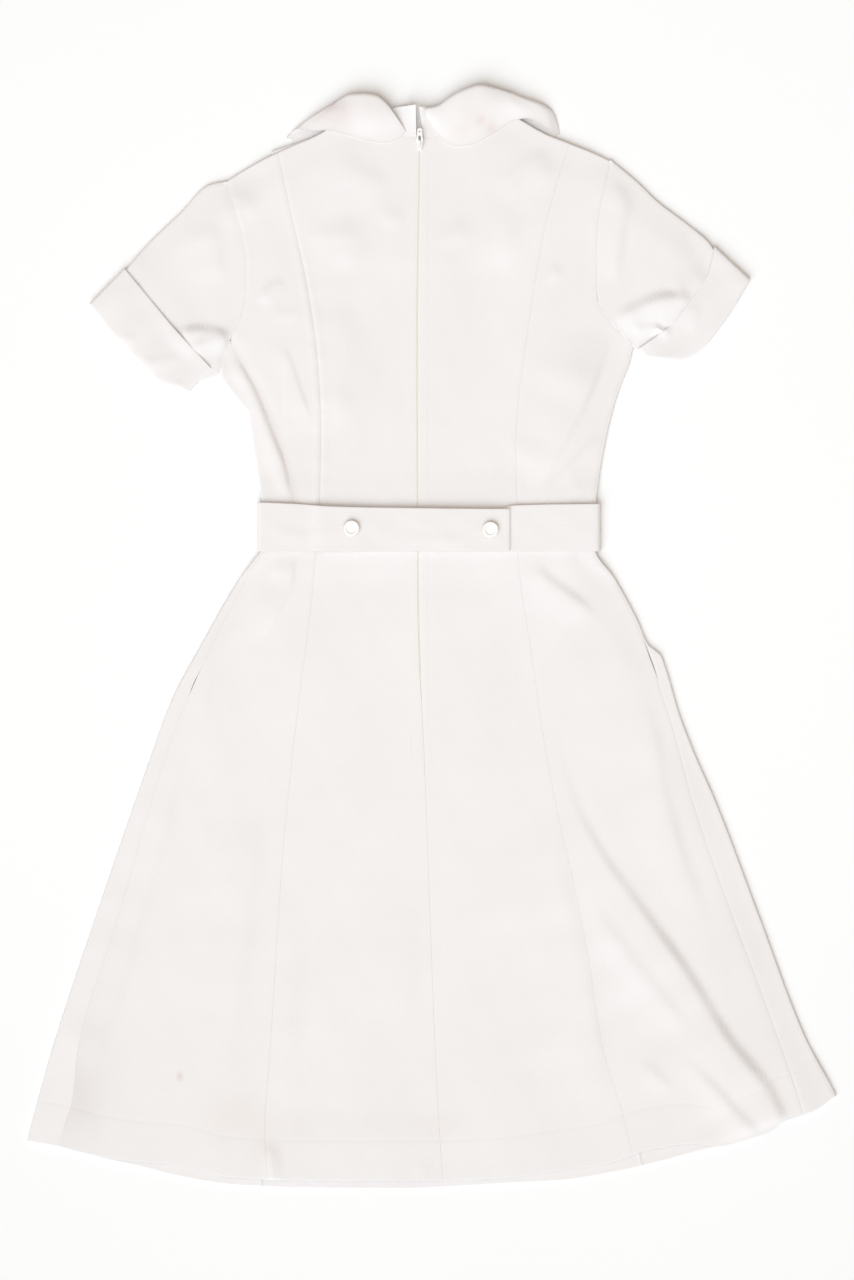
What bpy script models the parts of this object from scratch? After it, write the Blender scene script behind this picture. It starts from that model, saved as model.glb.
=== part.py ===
"""A short-sleeved waitress dress in white double knit, laid flat on its front, back uppermost.

The neck points along +Y, the floor is z = 0 and the origin is under the middle of the garment.
"Left" and "right" are the wearer's, which are -X and +X here. Sizes in the tables are millimetres.
"""

import math
from collections import namedtuple

import bmesh
import bpy
import numpy as np

MM = 0.001

# Driving sizes
CLOTH = 1.5  # wall of every cut panel
SEAM = 0.3  # gap between two pieces that are sewn together
NECK_GAP = 0.5  # the same at the slanting neck seam, measured along +Y
REST = 0.3  # gap between a piece and what it lies on
LAYER_GAP = 0.6  # clear space between front and back where the dress lies flattest
PUFF = 2.4  # how far the back stands off the front away from the folded sides
PUFF_WIDTH = 28.0  # width over which the back comes down to the folded sides
HALF = CLOTH / 2

ZIP_TOP = 482.0  # neck seam at the centre back
ZIP_LENGTH = 610.0
ZIP_SLOT = 3.2  # the two back panels stand this far apart along the zip
TAPE_WIDTH = 12.0
TAPE = 0.7
CHAIN_WIDTH = 2.4
CHAIN = 1.4

BELT_CENTRE = 106.0
BELT_WIDTH = 45.0
BELT = 2.0
BELT_MARGIN = 3.0  # the cloth is still flat this far above and below the belt
BELT_LEFT = -168.2
BELT_RIGHT = 163.2
BELT_UNDER_END = -104.0
BELT_TOP_END = 75.3
BELT_LEVEL = 8.8  # middle of the belt's wall where it lies on the back
BUTTON_DIAMETER = 15.4
BUTTON_HEIGHT = 2.6
BUTTON_CENTRES = {"left": (-77.1, 104.6), "right": (56.6, 103.4)}

POCKET = 1.2
POCKET_TOP = 56.0
POCKET_BOTTOM = -150.0
POCKET_DEPTH = 112.0
POCKET_INSET = 21.0  # from the folded side to the bag
CRESCENT = 5.0  # how far the left pocket mouth gapes
CRESCENT_RIGHT = 3.0

# Seams and edges, each row (y, x) from the hem up
CENTRE_BACK = [(-530, 11), (-427, 5), (-128, -6.5), (36, -13), (296, -14), (400, -12.8), (487, -11.3)]
PRINCESS_LEFT = [
    (-530, -158), (-471, -161), (-417, -157), (-186, -141.5), (-62, -128), (33, -116),
    (84, -111.5), (135, -108), (204, -107), (265, -110), (335, -119.5), (410, -136), (480, -151),
]
PRINCESS_RIGHT = [
    (-530, 202), (-455, 183), (-389, 163.5), (-312, 152), (-121, 112.5), (-15, 96.5),
    (81, 83.5), (143, 82), (188, 81.5), (227, 84), (296, 93), (393, 109), (480, 134),
]
SIDE_SEAM_LEFT = [
    (-520, -364), (-474, -355), (-444, -346), (-408, -342.5), (-259, -299), (-109, -254.5),
    (-61, -236), (-47, -230), (-26, -220.5), (2, -207), (34, -190.5), (68, -173), (84, -160),
    (106, -146), (131, -133.5), (150, -136.5), (173, -142.5), (207, -155), (239, -169),
    (265, -184), (286, -195),
]
SIDE_SEAM_RIGHT = [
    (-520, 375), (-440, 352.5), (-389, 335), (-157, 251.5), (-82, 231), (-47, 219.5), (-40, 218),
    (-18, 210), (4, 203), (17, 197), (57, 174), (84, 155.5), (106, 154.5), (131, 156), (149, 159),
    (177, 163.5), (212, 171), (239, 179), (265, 189), (286, 193),
]
ARMHOLE_LEFT = [
    (286, -195), (313, -183), (339, -179.5), (363, -179.5), (387, -183), (410, -189.5), (442, -199),
]
ARMHOLE_RIGHT = [
    (286, 193), (292, 184), (311, 168), (329, 159.5), (366, 159), (391, 159.5), (422, 164),
    (438, 168), (462, 172.5),
]
OUTLINE_LEFT = [
    (-520, -400), (-487, -391), (-408, -369.5), (-254, -319), (-109, -269), (-78, -258),
    (-48, -245), (-28, -234), (-4, -220.5), (26, -204), (57, -185), (76, -170.5), (84, -164.5),
    (106, -163.5), (133, -164.5), (166, -169), (196, -173.5), (215, -176.5), (230, -188),
    (250, -201), (265, -203), (286, -198),
]
OUTLINE_RIGHT = [
    (-520, 417), (-443, 391), (-389, 362.5), (-270, 317), (-157, 274), (-114, 255), (-72, 239),
    (-28, 226), (-16, 221), (-10, 212), (17, 199), (57, 177), (84, 158.5), (106, 157.5),
    (131, 159), (149, 161.5), (177, 166), (212, 173.5), (239, 181.5), (265, 191.5), (286, 196.4),
]

# Hems and the top edge, each row (x, y) from the wearer's left to right
HEM_BACK = [
    (-400, -485), (-391, -486.5), (-359, -492), (-327, -500), (-293, -505.5), (-237, -510.5),
    (-197, -521), (-148, -524), (-84, -525), (-4, -525), (58, -523), (124, -515), (171, -508),
    (208, -495.5), (253, -489), (276, -492), (305, -484.5), (327, -476.5), (339, -467),
    (372, -455.5), (391, -443), (410, -436),
]
HEM_FRONT = [
    (-400, -485), (-391, -486.5), (-359, -492.5), (-308, -506), (-282, -511.5), (-246, -520.5),
    (-193, -529), (-127, -532), (-31, -532.8), (76, -527.5), (124, -525), (171, -518), (219, -507),
    (265, -495), (305, -486), (339, -469), (372, -457), (391, -443), (410, -436),
]
TOP_EDGE = [
    (-205, 436), (-199, 440), (-183, 450), (-161, 462), (-139, 472.5), (-111, 484.5), (-86, 497),
    (-60, 487), (-35, 483), (-15, 482), (-8, 482), (20, 484), (45, 492), (71, 508.5), (84, 501),
    (109, 486.5), (134, 476.5), (170, 461.5), (178, 457),
]
NECK_FRONT = [
    (-151, 470), (-111, 484.5), (-86, 497), (-81, 470), (-62, 443), (-36, 428), (-7, 423),
    (22, 428), (48, 446), (66, 476), (71, 508.5), (84, 501), (109, 486.5), (140, 474.5),
]

# Heights of the rows of points in every panel, from the hem up
UNDERARM = 286.0
STATIONS = (
    [-425 + 34.5 * k for k in range(14)]
    + [44, 60, 73, 84, 95, 106, 117, 128, 142, 160, 184, 210, 236, 262, UNDERARM]
    + [304, 326, 352, 380, 410]
)
HEM_ROWS = 2
TOP_ROWS = 3
# Columns of points across the panels, as fractions of their width, with one at each neck point
CENTRE_SPREAD = {
    "left": [0, 0.13, 0.26, 0.39, 0.515, 0.75, 1],
    "right": [0, 0.13, 0.27, 0.4, 0.538, 0.76, 1],
}
SIDE_SPREAD = [0, 0.2, 0.4, 0.6, 0.8, 1]
FRONT_SPREAD = [0, 0.12, 0.243, 0.265, 0.33, 0.5, 0.67, 0.735, 0.757, 0.88, 1]
FRONT_NECK_COLUMNS = {"left": [2, 3, 4, 5], "right": [8, 7, 6, 5]}
FRONT_SEAM_SHIFT = 6.0  # the front's princess seams run this much nearer the sides

# Sleeves and cuffs, each row (x, y)
SLEEVE_TOP_LEFT = [(-199, 441), (-213.5, 438), (-243, 410), (-276, 376.5), (-294, 353), (-327, 321)]
SLEEVE_UNDER_LEFT = [(-195, 286.7), (-207, 286.7), (-226, 279), (-239, 267), (-252, 251)]
SLEEVE_END_LEFT = [(-327, 321), (-302, 291.5), (-280, 269), (-267, 256), (-252, 251)]
SLEEVE_TOP_RIGHT = [(172.5, 462), (197.5, 441.5), (219, 420), (247, 397), (269, 374), (305, 345)]
SLEEVE_UNDER_RIGHT = [(193, 286.7), (203, 291.5), (218, 296.5), (228, 289.5), (237, 279)]
SLEEVE_END_RIGHT = [(305, 345), (276, 301), (255, 279), (246, 275.5), (237, 279)]
CUFF_INNER_LEFT = [(-297, 357), (-266, 319), (-249, 298.5), (-229, 277), (-214.5, 262)]
CUFF_OUTER_LEFT = [(-331, 322), (-304, 288.5), (-282, 265.5), (-269, 250.5), (-256, 243), (-234, 237)]
CUFF_INNER_RIGHT = [(272.5, 377), (267, 352), (251.5, 328), (231.5, 302), (214, 288)]
CUFF_OUTER_RIGHT = [(308.5, 346), (278, 298.5), (256, 274), (239, 266.5), (222, 268), (204, 272.5)]

Cuff = namedtuple("Cuff", "corner_x corner_y out_x out_y")
CUFF_ZONES = [Cuff(-296, 354, -0.748, -0.667), Cuff(271.5, 375, 0.824, -0.567)]
CUFF_ZONE_FLOOR = 150.0
CUFF_ZONE_SIDE = 188.0  # nothing nearer the middle than this is lifted by a cuff
CUFF_ZONE_START = -34.0  # along the sleeve, from the cuff's inner corner
CUFF_ZONE_RAMP = 27.0

# Collar on the back, each row one line across it: neck seam, top of the stand, roll and outer edge
CollarLine = namedtuple("CollarLine", "neck_x neck_y stand_x stand_y roll_x roll_y edge_x edge_y roll")
BackRow = namedtuple("BackRow", "neck_x stand_x stand_y roll_x roll_y edge_x edge_y roll")
COLLAR_BACK = {
    "left": [
        BackRow(-15.9, -15.2, 512.2, -42.0, 512.6, -24.7, 488.5, 1.6),
        BackRow(-28.0, -31.0, 511.6, -46.0, 517.2, -30.5, 481.5, 2.0),
        BackRow(-42.0, -44.5, 508.4, -54.6, 523.2, -45.9, 476.4, 2.4),
        BackRow(-56.0, -58.0, 518.2, -66.0, 524.6, -62.0, 478.8, 2.6),
        BackRow(-70.0, -72.5, 519.6, -78.0, 524.0, -80.0, 485.6, 2.4),
        BackRow(-80.0, -83.0, 516.6, -86.5, 519.8, -104.0, 488.6, 2.0),
        BackRow(-85.9, -90.3, 508.8, -92.5, 514.8, -135.5, 480.2, 1.4),
    ],
    "right": [
        BackRow(-7.6, -9.6, 505.6, -10.0, 509.5, 2.3, 493.8, 1.4),
        BackRow(6.0, 4.0, 507.8, 5.0, 512.6, 8.5, 479.8, 2.0),
        BackRow(20.0, 17.6, 514.6, 17.0, 520.8, 23.0, 473.2, 2.4),
        BackRow(34.0, 31.0, 522.6, 30.0, 528.0, 39.0, 475.0, 2.8),
        BackRow(47.0, 46.0, 527.0, 46.5, 532.8, 58.0, 484.8, 2.8),
        BackRow(60.0, 60.5, 524.0, 61.5, 529.0, 80.0, 496.5, 2.2),
        BackRow(71.8, 73.8, 516.2, 75.8, 522.8, 119.0, 495.6, 1.4),
    ],
}
# Collar on the front: how far along the neckline from the shoulder, and the outer edge there
FrontRow = namedtuple("FrontRow", "along edge_x edge_y")
COLLAR_FRONT = {
    "left": [
        FrontRow(0.06, -133, 470), FrontRow(0.25, -131, 449), FrontRow(0.45, -119, 425),
        FrontRow(0.63, -98, 405), FrontRow(0.81, -66, 391), FrontRow(1.0, -33, 387),
    ],
    "right": [
        FrontRow(0.06, 121, 484), FrontRow(0.25, 116, 458), FrontRow(0.45, 104, 431),
        FrontRow(0.63, 83, 408), FrontRow(0.81, 50, 392), FrontRow(1.0, 11, 387),
    ],
}
SHOULDER_TURNS = 4
FRONT_STAND = 6.0  # the stand is lower at the front than at the back
FRONT_ROLL = 10.0
NECK_CENTRE = (-8.0, 505.0)
COLLAR_ZONE = (-8.0, 505.0, 135.0, 118.0)  # centre and half widths of the collar's ground
COLLAR_ZONE_REACH = (1.42, 0.25)  # where its lift has ended, and the ramp before that

# Largest folds of the back: start, middle and end of the ridge, half width and height
Fold = namedtuple("Fold", "x0 y0 x1 y1 x2 y2 width height")
FOLDS = [
    Fold(110, -95, 190, -255, 338, -455, 17, 6.0),
    Fold(235, -385, 290, -440, 322, -478, 12, 3.0),
    Fold(-133, 84, -140, 30, -176, -12, 11, 3.0),
    Fold(96, 72, 128, 40, 166, 8, 13, 2.6),
    Fold(-150, 286, -130, 240, -112, 205, 8, 2.6),
    Fold(172, 272, 146, 220, 104, 146, 13, 3.4),
    Fold(-166, 318, -152, 340, -140, 346, 9, 2.4),
    Fold(-252, 298, -222, 303, -198, 292, 7, 3.4),
    Fold(182, 300, 214, 330, 252, 318, 8, 4.0),
    Fold(-84, 420, -78, 350, -88, 250, 26, 1.6),
    Fold(36, 400, 40, 320, 26, 240, 26, 1.6),
    Fold(-192, -60, -215, -240, -262, -470, 26, 2.2),
    Fold(60, -130, 70, -320, 110, -500, 34, 1.8),
]

# Zip slider and its pull tab
SLIDER_TOP = 479.2
SLIDER_BOTTOM = 468.4
SLIDER_WIDTH = 6.4
SLIDER_NARROW = 3.0
SLIDER = 1.2
PULL_AXIS_Y = 477.6
PULL_LENGTH = 12.9  # axis to free end
PULL_WIDE = 6.6
PULL_NARROW = 4.4
PULL = 0.9
PULL_BAR = 0.5  # radius of the bar that turns under the slider's bridge
BRIDGE_WIDTH = 1.5
BRIDGE = 0.7
BRIDGE_CLEAR = 1.9
BRIDGE_FOOT = 3.6  # from the pull's axis to the bridge's foot at the narrow end
BRIDGE_END = 2.1
BRIDGE_SUNK = 0.4
PULL_WINDOW = (2.5, 5.4)  # width, and length from the axis
PULL_HOLE = (1.5, 9.5)  # diameter, and distance from the axis

Finish = namedtuple("Finish", "colour roughness metallic")
KNIT = Finish((0.86, 0.83, 0.815), 0.85, 0.0)
KNIT_INSIDE = Finish((0.80, 0.76, 0.74), 0.9, 0.0)
TAPE_FINISH = Finish((0.83, 0.79, 0.74), 0.8, 0.0)
CHAIN_FINISH = Finish((0.72, 0.66, 0.52), 0.4, 0.0)
ENAMEL = Finish((0.90, 0.89, 0.87), 0.25, 0.0)
BUTTON_FINISH = Finish((0.92, 0.91, 0.89), 0.18, 0.0)


# Curves and easing

def curve(rows):
    """A smooth function through rows (along, across) that never swings past them."""
    table = np.array(rows, dtype=float)
    along, across = table[:, 0], table[:, 1]
    step = np.diff(along)
    rise = np.diff(across) / step
    slope = np.zeros(len(along))
    slope[0], slope[-1] = rise[0], rise[-1]
    for k in range(1, len(along) - 1):
        if rise[k - 1] * rise[k] > 0:
            before, after = 2 * step[k] + step[k - 1], step[k] + 2 * step[k - 1]
            slope[k] = (before + after) / (before / rise[k - 1] + after / rise[k])

    def value(at):
        at = np.asarray(at, dtype=float)
        k = np.clip(np.searchsorted(along, at) - 1, 0, len(step) - 1)
        t = (at - along[k]) / step[k]
        inside = np.clip(t, 0, 1)
        t2, t3 = inside * inside, inside ** 3
        result = (
            (2 * t3 - 3 * t2 + 1) * across[k]
            + (t3 - 2 * t2 + inside) * step[k] * slope[k]
            + (3 * t2 - 2 * t3) * across[k + 1]
            + (t3 - t2) * step[k] * slope[k + 1]
        )
        end_slope = np.where(t < 0, slope[k], slope[k + 1])
        return result + (t - inside) * step[k] * end_slope

    return value


def path(rows):
    """A smooth plan curve through rows (x, y), as a function of 0 to 1 along its length."""
    points = np.array(rows, dtype=float)
    lengths = np.concatenate([[0], np.cumsum(np.hypot(*np.diff(points, axis=0).T))])
    lengths = lengths / lengths[-1]
    across = curve(list(zip(lengths, points[:, 0])))
    up = curve(list(zip(lengths, points[:, 1])))
    return lambda t: (across(t), up(t))


def ease(t):
    """0 below 0, 1 above 1 and smooth between."""
    t = np.clip(t, 0, 1)
    return t * t * (3 - 2 * t)


def mix(a, b, t):
    return a + (b - a) * t


def distance_to_line(x, y, line):
    """Distance from each point to a line through (x, y) rows, and how far along it is nearest."""
    best = np.full(np.shape(x), 1e9)
    where = np.zeros(np.shape(x))
    count = len(line) - 1
    for k in range(count):
        (x0, y0), (x1, y1) = line[k], line[k + 1]
        dx, dy = x1 - x0, y1 - y0
        t = np.clip(((x - x0) * dx + (y - y0) * dy) / (dx * dx + dy * dy), 0, 1)
        d = np.hypot(x - x0 - t * dx, y - y0 - t * dy)
        nearer = d < best
        best = np.where(nearer, d, best)
        where = np.where(nearer, (k + t) / count, where)
    return best, where


centre_back = curve(CENTRE_BACK)
princess = {"left": curve(PRINCESS_LEFT), "right": curve(PRINCESS_RIGHT)}
side_seam = {"left": curve(SIDE_SEAM_LEFT), "right": curve(SIDE_SEAM_RIGHT)}
armhole = {"left": curve(ARMHOLE_LEFT), "right": curve(ARMHOLE_RIGHT)}
outline = {"left": curve(OUTLINE_LEFT), "right": curve(OUTLINE_RIGHT)}
hem_back = curve(HEM_BACK)
hem_front = curve(HEM_FRONT)
top_edge = curve(TOP_EDGE)
neck_front = curve(NECK_FRONT)
AWAY = {"left": -1.0, "right": 1.0}


def flipped(rows):
    return [(x, y) for y, x in rows]


FOLDED_EDGES = [
    flipped(OUTLINE_LEFT) + SLEEVE_UNDER_LEFT[1:3],
    flipped(OUTLINE_RIGHT) + SLEEVE_UNDER_RIGHT[1:3],
    SLEEVE_TOP_LEFT[:5],
    SLEEVE_TOP_RIGHT[:5],
    TOP_EDGE[1:7],
    TOP_EDGE[13:18],
]


# Heights of the two layers of cloth, at the middle of the wall

def belt_zone(y, ramp=34.0):
    """1 where the dress lies under the belt, easing to 0 above and below it."""
    half = BELT_WIDTH / 2 + BELT_MARGIN
    return ease((half + ramp - np.abs(y - BELT_CENTRE)) / ramp)


def cuff_zone(x, y):
    """1 where a sleeve lies inside its turned-up cuff, easing to 0 before it."""
    zone = np.zeros(np.shape(x))
    for cuff in CUFF_ZONES:
        along = (x - cuff.corner_x) * cuff.out_x + (y - cuff.corner_y) * cuff.out_y
        beyond = ease((np.sign(cuff.out_x) * x - CUFF_ZONE_SIDE) / 22)
        zone = np.maximum(zone, ease((along - CUFF_ZONE_START) / CUFF_ZONE_RAMP) * beyond)
    return zone * ease((y - CUFF_ZONE_FLOOR) / 50)


def collar_zone(x, y):
    """1 where the front lies on the collar, easing to 0 outside it."""
    cx, cy, wide, high = COLLAR_ZONE
    end, ramp = COLLAR_ZONE_REACH
    return ease((end - np.hypot((x - cx) / wide, (y - cy) / high)) / ramp)


def low_z(x, y):
    """The front of the dress, which lies on the floor or on the belt, cuffs and collar."""
    x, y = np.broadcast_arrays(np.asarray(x, float), np.asarray(y, float))
    on_cloth = np.maximum(cuff_zone(x, y), collar_zone(x, y)) * (CLOTH + REST)
    return HALF + on_cloth + belt_zone(y) * (BELT + REST)


def side_ease(x, y):
    """0 at the folded sides of the garment and 1 inside them."""
    nearest = np.full(np.shape(x), 1e9)
    for edge in FOLDED_EDGES:
        nearest = np.minimum(nearest, distance_to_line(x, y, edge)[0])
    return ease(nearest / PUFF_WIDTH)


def fold_height(x, y):
    """The largest folds, each an uneven soft ridge along a bent line."""
    height = np.zeros(np.shape(x))
    for fold in FOLDS:
        line = []
        for k in range(9):
            t = k / 8
            a, b, c = (1 - t) ** 2, 2 * t * (1 - t), t * t
            line.append((a * fold.x0 + b * fold.x1 + c * fold.x2, a * fold.y0 + b * fold.y1 + c * fold.y2))
        away, along = distance_to_line(x, y, line)
        taper = np.sin(np.pi * np.clip(along, 0.02, 0.98)) ** 0.7
        height = height + fold.height * np.exp(-((away / fold.width) ** 2)) * taper
    return height


def top_z(x, y):
    """The back of the dress, which lies on its front."""
    x, y = np.broadcast_arrays(np.asarray(x, float), np.asarray(y, float))
    free = side_ease(x, y) * (1 - cuff_zone(x, y))
    pressed = 1 - 0.55 * belt_zone(y, 20.0)
    relief = PUFF * pressed + fold_height(x, y) * (1 - belt_zone(y, 26.0))
    return low_z(x, y) + CLOTH + LAYER_GAP + free * relief


# Building blocks

def new_material(name, finish):
    material = bpy.data.materials.new(name)
    material.use_nodes = True
    shader = material.node_tree.nodes["Principled BSDF"]
    shader.inputs["Base Color"].default_value = (*finish.colour, 1.0)
    shader.inputs["Roughness"].default_value = finish.roughness
    shader.inputs["Metallic"].default_value = finish.metallic
    material.diffuse_color = (*finish.colour, 1.0)
    return material


def new_object(name, mesh, finish, smooth=True):
    mesh.materials.append(new_material(name + "_finish", finish))
    if smooth:
        mesh.shade_smooth()
        mesh.set_sharp_from_angle(angle=math.radians(40))
    item = bpy.data.objects.new(name, mesh)
    dress_collection.objects.link(item)
    return item


def grid_mesh(name, columns, rows, place, drop=None, closed=False):
    """A grid whose point (column, row) goes to place(column, row), less the points in drop."""
    bm = bmesh.new()
    bmesh.ops.create_grid(bm, x_segments=columns, y_segments=rows, size=0.5)
    low = min(v.co.x for v in bm.verts)
    span = max(v.co.x for v in bm.verts) - low
    points = list(bm.verts)
    column = np.array([round((v.co.x - low) / span * columns) for v in points])
    row = np.array([round((v.co.y - low) / span * rows) for v in points])
    x, y, z = place(column, row)
    for k, vertex in enumerate(points):
        vertex.co = (x[k] * MM, y[k] * MM, z[k] * MM)
    if drop is not None:
        unwanted = [points[k] for k in np.flatnonzero(drop(column, row))]
        bmesh.ops.delete(bm, geom=unwanted, context="VERTS")
    if closed:
        bmesh.ops.remove_doubles(bm, verts=bm.verts, dist=0.00002)
    mesh = bpy.data.meshes.new(name)
    bm.to_mesh(mesh)
    bm.free()
    return mesh


def add_wall(item, thickness):
    wall = item.modifiers.new("wall", "SOLIDIFY")
    wall.thickness = thickness * MM
    wall.offset = 0.0
    wall.use_rim = True
    wall.use_even_offset = False
    return item


def sheet(name, columns, rows, place, thickness, finish, drop=None, closed=False):
    mesh = grid_mesh(name, columns, rows, place, drop, closed)
    return add_wall(new_object(name, mesh, finish), thickness)


# Body panels

def panel_heights(row, across, bottom, top):
    """The y of each point: hem rows, the shared stations, then rows up to the top edge.

    across(y) gives the point's x at a height, so that the edges are met where the point is."""
    low, high = STATIONS[0], STATIONS[-1]
    hem = np.full(np.shape(row), float(low))
    crown = np.full(np.shape(row), float(high))
    for _ in range(8):
        hem = bottom(across(hem))
        crown = top(across(crown))
    last = HEM_ROWS + len(STATIONS) - 1
    station = np.array(STATIONS)[np.clip(row - HEM_ROWS, 0, len(STATIONS) - 1)]
    below = mix(hem, low, row / HEM_ROWS)
    above = mix(high, crown, (row - last) / TOP_ROWS)
    return np.where(row < HEM_ROWS, below, np.where(row > last, above, station))


PANEL_ROWS = HEM_ROWS + len(STATIONS) - 1 + TOP_ROWS
UNDERARM_ROW = HEM_ROWS + STATIONS.index(UNDERARM)


def fold_middle(side, y):
    """Where the fold at the side of the garment is centred."""
    x = outline[side](y)
    radius = (top_z(x, y) - low_z(x, y)) / 2
    return x - AWAY[side] * (radius + HALF)


def seam_line(side, y):
    """The side seam, which never runs out past the fold."""
    away = AWAY[side]
    return away * np.minimum(away * side_seam[side](y), away * fold_middle(side, y) - 1.0)


def outer_edge(side, y):
    """The back side panel's outer edge: side seam below the underarm, armhole above."""
    return np.where(y <= UNDERARM, seam_line(side, y), armhole[side](y))


def centre_edge(side, y):
    """The centre back edge, which stands off the middle along the zip."""
    zip_end = ZIP_TOP - ZIP_LENGTH
    half_gap = mix(SEAM, ZIP_SLOT, ease((y - zip_end + 6) / 10)) / 2
    return centre_back(y) + AWAY[side] * half_gap


def edge_points(inner, outer, spread, top):
    """Where a panel's columns meet its top edge."""
    steps = np.array(spread)
    y = np.full(len(steps), STATIONS[-1])
    for _ in range(8):
        y = top(mix(inner(y), outer(y), steps))
    return mix(inner(y), outer(y), steps), y


def flat_panel(name, spread, inner, outer, bottom, top, height):
    """A panel between two seams, as columns of points from inner(y) to outer(y)."""
    steps = np.array(spread)
    columns = len(spread) - 1

    def place(column, row):
        u = steps[column]
        across = lambda y: mix(inner(y), outer(y), u)
        y = panel_heights(row, across, bottom, top)
        x = across(y)
        return x, y, height(x, y)

    return sheet(name, columns, PANEL_ROWS, place, CLOTH, KNIT)


def princess_edge(side, y, beyond=-1):
    """The edge of a panel at a back princess seam: beyond is 1 for the side panel."""
    return princess[side](y) + AWAY[side] * beyond * SEAM / 2


def back_panels(side):
    away = AWAY[side]
    middle = lambda y: centre_edge(side, y)
    inner = lambda y: princess_edge(side, y)
    outer = lambda y: princess_edge(side, y, 1)
    edge = lambda y: outer_edge(side, y) - away * SEAM / 2
    flat_panel("back_centre_" + side, CENTRE_SPREAD[side], middle, inner, hem_back, top_edge, top_z)
    flat_panel("back_side_" + side, SIDE_SPREAD, outer, edge, hem_back, top_edge, top_z)


def front_seam(side, y):
    return princess[side](y) + AWAY[side] * FRONT_SEAM_SHIFT


def front_centre_edge(side, y):
    return front_seam(side, y) - AWAY[side] * SEAM / 2


def front_centre():
    left = lambda y: front_centre_edge("left", y)
    right = lambda y: front_centre_edge("right", y)
    flat_panel("front_centre", FRONT_SPREAD, left, right, hem_front, neck_front, low_z)


RUN_COLUMNS = 5
FOLD_COLUMNS = 4
RETURN_COLUMNS = 2
GAPES = {"left": (CRESCENT, -44, 20), "right": (CRESCENT_RIGHT, -22, 22)}


def pocket_gape(side, y):
    depth, middle, half = GAPES[side]
    return depth * ease(1 - np.abs(y - middle) / half)


def front_side(side):
    """A front side panel: its run under the back, its fold at the outline and its return."""
    away = AWAY[side]
    fold_start = RUN_COLUMNS
    return_start = RUN_COLUMNS + FOLD_COLUMNS
    columns = return_start + RETURN_COLUMNS

    def place(column, row):
        below = row <= UNDERARM_ROW

        def run_end(y):
            return np.where(below, fold_middle(side, y), armhole[side](y) - away * SEAM / 2)

        def across(y):
            run = mix(front_seam(side, y) + away * SEAM / 2, run_end(y), np.clip(column / fold_start, 0, 1))
            seam = seam_line(side, y) + away * (SEAM / 2 + pocket_gape(side, y))
            seam = away * np.minimum(away * seam, away * fold_middle(side, y) - 0.5)
            back = mix(fold_middle(side, y), seam, np.clip((column - return_start) / RETURN_COLUMNS, 0, 1))
            return np.where(column <= return_start, run, back)

        bottom = lambda x: np.where(column <= fold_start, hem_front(x), hem_back(x))
        y = panel_heights(row, across, bottom, top_edge)
        x = across(y)
        low, top = low_z(x, y), top_z(x, y)
        turn = np.pi * np.clip((column - fold_start) / FOLD_COLUMNS, 0, 1)
        in_fold = (column > fold_start) & (column < return_start)
        x = np.where(in_fold, x + away * (top - low) / 2 * np.sin(turn), x)
        z = np.where(column >= return_start, top, low)
        z = np.where(in_fold, (low + top) / 2 - (top - low) / 2 * np.cos(turn), z)
        return x, y, z

    drop = lambda column, row: (column > fold_start) & (row > UNDERARM_ROW)
    return sheet("front_side_" + side, columns, PANEL_ROWS, place, CLOTH, KNIT, drop)


# Sleeves and cuffs

def between(start, end, upper, lower):
    """A plan patch (a, b) filled in between four bounding curves."""
    corners = [np.array(start(0.0)), np.array(start(1.0)), np.array(end(0.0)), np.array(end(1.0))]

    def at(a, b):
        result = []
        for k in range(2):
            ruled = mix(start(b)[k], end(b)[k], a) + mix(upper(a)[k], lower(a)[k], b)
            flat = mix(mix(corners[0][k], corners[1][k], b), mix(corners[2][k], corners[3][k], b), a)
            result.append(ruled - flat)
        return result

    return at


def flat_tube(name, patch, rows, spread, fold, low, top):
    """A flattened tube on a plan patch: a top layer, a fold, a bottom layer and a fold."""
    steps = np.array(spread)
    across = len(steps) - 1
    ring = 2 * (across + fold)

    def place(column, row):
        a = row / rows
        k = column % ring
        probe = 0.02
        upper, lower = patch(a, 0.0), patch(a, 1.0)
        width = np.hypot(upper[0] - lower[0], upper[1] - lower[1])
        radius_u = (top(*upper) - low(*upper)) / 2
        radius_l = (top(*lower) - low(*lower)) / 2
        b0, b1 = (radius_u + HALF) / width, 1 - (radius_l + HALF) / width
        on_top = k <= across
        first_fold = (k > across) & (k < across + fold)
        on_bottom = (k >= across + fold) & (k <= 2 * across + fold)
        second_fold = k > 2 * across + fold
        b = np.where(on_top, steps[np.clip(k, 0, across)], 1.0)
        b = np.where(on_bottom, steps[np.clip(2 * across + fold - k, 0, across)], b)
        b = np.where(second_fold, 0.0, b)
        b = np.clip(b, b0, b1)
        x, y = patch(a, b)
        low_at, top_at = low(x, y), top(x, y)
        z = np.where(on_top, top_at, low_at)
        for here, start, edge, inward in (
            (first_fold, across, 1.0, -probe),
            (second_fold, 2 * across + fold, 0.0, probe),
        ):
            rim, inside = patch(a, edge), patch(a, edge + inward)
            out_x, out_y = rim[0] - inside[0], rim[1] - inside[1]
            size = np.hypot(out_x, out_y)
            turn = np.pi * (k - start) / fold
            radius = (top_at - low_at) / 2
            push = radius * np.sin(turn)
            x = np.where(here, x + out_x / size * push, x)
            y = np.where(here, y + out_y / size * push, y)
            sign = 1 if start == across else -1
            z = np.where(here, (top_at + low_at) / 2 + sign * radius * np.cos(turn), z)
        return x, y, z

    return sheet(name, ring, rows, place, CLOTH, KNIT, closed=True)


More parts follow.
